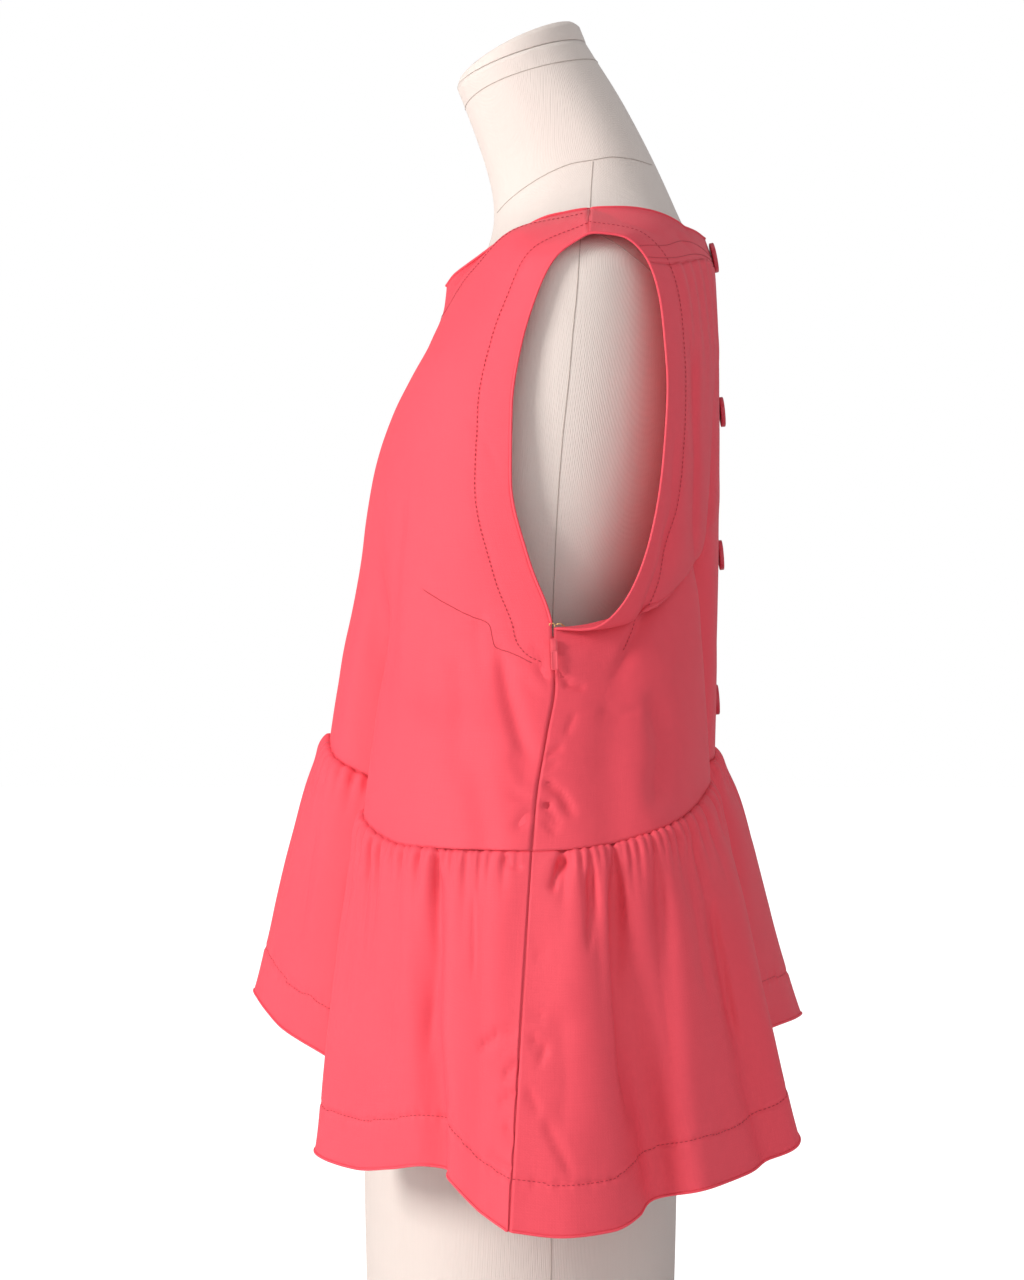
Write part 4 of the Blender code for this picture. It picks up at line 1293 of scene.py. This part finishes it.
for side in ("left", "right"):
    centre = peplum["columns"] // 2
    half = backPeplumFinal[:, centre:] if side == "left" else backPeplumFinal[:, :centre + 1]
    seamTrim["peplum"].append(allowance("waist_allowance_back_" + side, half[3], half[0],
        backPieces[side][2][3], 1, seamPlan["waistInset"]))


# Zip, hook and buttons


def nodeAxes(name):  # centre, longest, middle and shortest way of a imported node, with its sizes
    points = np.array([vertex.co for vertex in cadNodes[name].data.vertices])
    low, high = [np.array(corner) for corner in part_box(name)]
    middle = 0.5 * (low + high)
    _, _, ways = np.linalg.svd(points - points.mean(axis=0), full_matrices=False)
    spans = [np.ptp(points @ way) for way in ways]
    order = np.argsort(spans)[::-1]
    middle = points.mean(axis=0)
    for way in ways:
        reach = points @ way
        middle = middle + way * (0.5 * (reach.max() + reach.min()) - middle @ way)
    return middle, [ways[index] for index in order], [spans[index] for index in order]


# moves a piece, modelled flat at the origin, to its place, its place in its mesh
def placedAs(obj, middle, across, along, out):
    turn = Matrix([list(across) + [0], list(along) + [0], list(out) + [0], [0, 0, 0, 1]]).transposed()
    obj.data.transform(Matrix.Translation(Vector(middle)) @ turn)
    obj.data.update()
    return obj


def bevelled(obj, width, segments):
    soft = obj.modifiers.new("soft", "BEVEL")
    soft.width = width
    soft.segments = segments
    soft.limit_method = "ANGLE"
    applied(obj)
    bpy.ops.object.shade_smooth_by_angle(angle=math.radians(35))
    return obj


buttonPlan = {"holes": 4, "holeRadius": 0.0010, "holeRing": 0.0021, "rim": 0.0021, "dish": 0.0008}


def buttonModel(radius, thick):
    bpy.ops.object.select_all(action="DESELECT")
    bpy.ops.mesh.primitive_cylinder_add(vertices=48, radius=radius, depth=thick)
    button = bpy.context.object
    bpy.ops.object.mode_set(mode="EDIT")
    bpy.ops.mesh.select_all(action="DESELECT")
    bpy.ops.mesh.select_mode(type="FACE")
    shape = bmesh.from_edit_mesh(button.data)
    for face in shape.faces:
        face.select_set(face.normal.z > 0.9)
    bmesh.update_edit_mesh(button.data)
    bpy.ops.mesh.inset(thickness=buttonPlan["rim"])
    bpy.ops.mesh.inset(thickness=0.0006, depth=-buttonPlan["dish"])
    bpy.ops.object.mode_set(mode="OBJECT")
    bevelled(button, 0.0005, 3)
    for index in range(buttonPlan["holes"]):
        angle = math.radians(45 + 90 * index)
        spot = (buttonPlan["holeRing"] * math.cos(angle), buttonPlan["holeRing"] * math.sin(angle), 0)
        bpy.ops.mesh.primitive_cylinder_add(vertices=16, radius=buttonPlan["holeRadius"], depth=0.02,
            location=spot)
        drill = bpy.context.object
        cut = button.modifiers.new("hole", "BOOLEAN")
        cut.operation = "DIFFERENCE"
        cut.object = drill
        cut.solver = "EXACT"
        bpy.context.view_layer.objects.active = button
        bpy.ops.object.modifier_apply(modifier=cut.name)
        bpy.data.objects.remove(drill)
    return button


def sewButtons():
    middle, ways, spans = nodeAxes("button_1")
    model = buttonModel(0.5 * spans[0], spans[2])
    for index in range(1, 5):
        node = f"button_{index}"
        middle, ways, _ = nodeAxes(node)
        out = ways[2] * (1 if ways[2][1] > 0 else -1)
        across = np.array([1.0, 0.0, 0.0])
        across = across - out * across.dot(out)
        across /= np.linalg.norm(across)
        button = bpy.data.objects.new(f"back_button_{index}", model.data.copy())
        bpy.context.scene.collection.objects.link(button)
        placedAs(button, middle, across, np.cross(out, across), out)
        finished(button, "top_and_form", buttonFinish)
        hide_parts(node)
        thread = []
        ring = buttonPlan["holeRing"] / mm
        centre = middle / mm - [0, 0, level]
        for start, end in ((45, 225), (135, 315)):
            ends = [across * math.cos(math.radians(a)) * ring + np.cross(out,
                across) * math.sin(math.radians(a)) * ring for a in (start, end)]
            lift = out * (0.5 * spans[2] / mm - buttonPlan["dish"] / mm + 0.05)
            bow = [ends[0] * s + ends[1] * (1 - s) + lift + out * (0.55 * math.sin(math.pi * s) - 0.7 * (abs(2 * s - 1) ** 6)) for s in np.linspace(0, 1, 9)]
            thread.append(np.array(bow) + centre)
        for count, line in enumerate(thread):
            roll(f"button_thread_{index}_{count + 1}", line, 0.42, threadAndDartShadeFinish, 6)
    bpy.data.objects.remove(model)


def makeZip():
    middle, ways, spans = nodeAxes("zip_slider")
    out = ways[2] * (1 if ways[2][0] > 0 else -1)
    along = ways[0] * (1 if ways[0][2] < 0 else -1)
    across = np.cross(along, out)
    bpy.ops.object.select_all(action="DESELECT")
    bpy.ops.mesh.primitive_cube_add(size=1.0)
    slider = bpy.context.object
    slider.scale = (spans[1], spans[0], spans[2])
    bpy.ops.object.transform_apply(location=False, rotation=False, scale=True)
    bpy.ops.object.mode_set(mode="EDIT")
    bpy.ops.mesh.select_mode(type="FACE")
    bpy.ops.mesh.select_all(action="DESELECT")
    shape = bmesh.from_edit_mesh(slider.data)
    for face in shape.faces:
        face.select_set(abs(face.normal.x) > 0.9)
    bmesh.update_edit_mesh(slider.data)
    bpy.ops.mesh.inset(thickness=0.0005, depth=-0.0004)
    bpy.ops.mesh.select_all(action="DESELECT")
    shape = bmesh.from_edit_mesh(slider.data)
    for face in shape.faces:
        face.select_set(face.normal.z > 0.9)
    bmesh.update_edit_mesh(slider.data)
    bpy.ops.mesh.inset(thickness=0.0009)
    bpy.ops.mesh.extrude_region_move(TRANSFORM_OT_translate={"value": (0, 0, 0.00035)})
    bpy.ops.object.mode_set(mode="OBJECT")
    bevelled(slider, 0.00035, 3)
    slider.name = "slider_body"
    placedAs(slider, middle, across, along, out)
    finished(slider, "top_and_form", sliderFinish)
    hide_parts("zip_slider")
    middle, ways, spans = nodeAxes("zip_pull")
    out = ways[2] * (1 if ways[2][0] > 0 else -1)
    along = ways[0] * (1 if ways[0][2] < 0 else -1)
    across = np.cross(along, out)
    bpy.ops.object.select_all(action="DESELECT")
    bpy.ops.mesh.primitive_cube_add(size=1.0)
    pull = bpy.context.object
    pull.scale = (spans[1], spans[0], spans[2])
    bpy.ops.object.transform_apply(location=False, rotation=False, scale=True)
    bpy.ops.object.mode_set(mode="EDIT")
    bpy.ops.mesh.select_mode(type="FACE")
    bpy.ops.mesh.select_all(action="DESELECT")
    shape = bmesh.from_edit_mesh(pull.data)
    for face in shape.faces:
        face.select_set(abs(face.normal.z) > 0.9)
    bmesh.update_edit_mesh(pull.data)
    bpy.ops.mesh.inset(thickness=0.0008)
    bpy.ops.mesh.inset(thickness=0.0003, depth=-0.00025)
    bpy.ops.object.mode_set(mode="OBJECT")
    bevelled(pull, 0.0003, 3)
    pull.name = "pull_tab"
    placedAs(pull, middle, across, along, out)
    finished(pull, "pull", sliderFinish)
    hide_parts("zip_pull")


def makeTape():
    tape = bpy.data.objects.new("zip_tape_cloth", cadNodes["zip_tape"].data.copy())
    tape.data.transform(cadNodes["zip_tape"].matrix_world)
    bpy.context.scene.collection.objects.link(tape)
    bpy.ops.object.select_all(action="DESELECT")
    tape.select_set(True)
    bpy.context.view_layer.objects.active = tape
    bpy.ops.object.mode_set(mode="EDIT")
    bpy.ops.mesh.select_all(action="SELECT")
    bpy.ops.mesh.remove_doubles(threshold=0.00001)
    bpy.ops.mesh.subdivide(number_cuts=2, smoothness=0.0)
    bpy.ops.object.mode_set(mode="OBJECT")
    bpy.ops.object.shade_smooth_by_angle(angle=math.radians(50))
    finished(tape, "top_and_form", fabric("zip_cloth", False))
    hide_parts("zip_tape")
    return tape


hookPlan = {"place": (176.0, 27.5, 9.0), "wire": 0.42, "loop": 1.7}


def makeHook():
    spot = np.array(hookPlan["place"])
    angle = np.linspace(-0.2 * math.pi, 1.15 * math.pi, 22)
    loop = hookPlan["loop"]
    eye = np.stack([0.3 * np.sin(angle), loop * np.cos(angle) - 2.0, loop * np.sin(angle)], axis=1) + spot
    roll("eye_loop", eye, hookPlan["wire"], brassFinish, 8)
    turn = np.linspace(0, math.pi, 14)
    bend = np.stack([0.9 * np.sin(turn) - 0.2, 2.6 + 1.8 * np.cos(turn), 0.8 * np.sin(turn) + 0.6], axis=1)
    stem = np.array([[-0.2, 6.4, -0.6], [-0.2, 5.4, 0.2]])
    roll("hook_wire", np.concatenate([stem, bend]) + spot, hookPlan["wire"], brassFinish, 8)


sewButtons()
makeZip()
tapePiece = makeTape()
makeHook()
print("buttons, zip and hook are on")


print("scene is ready")
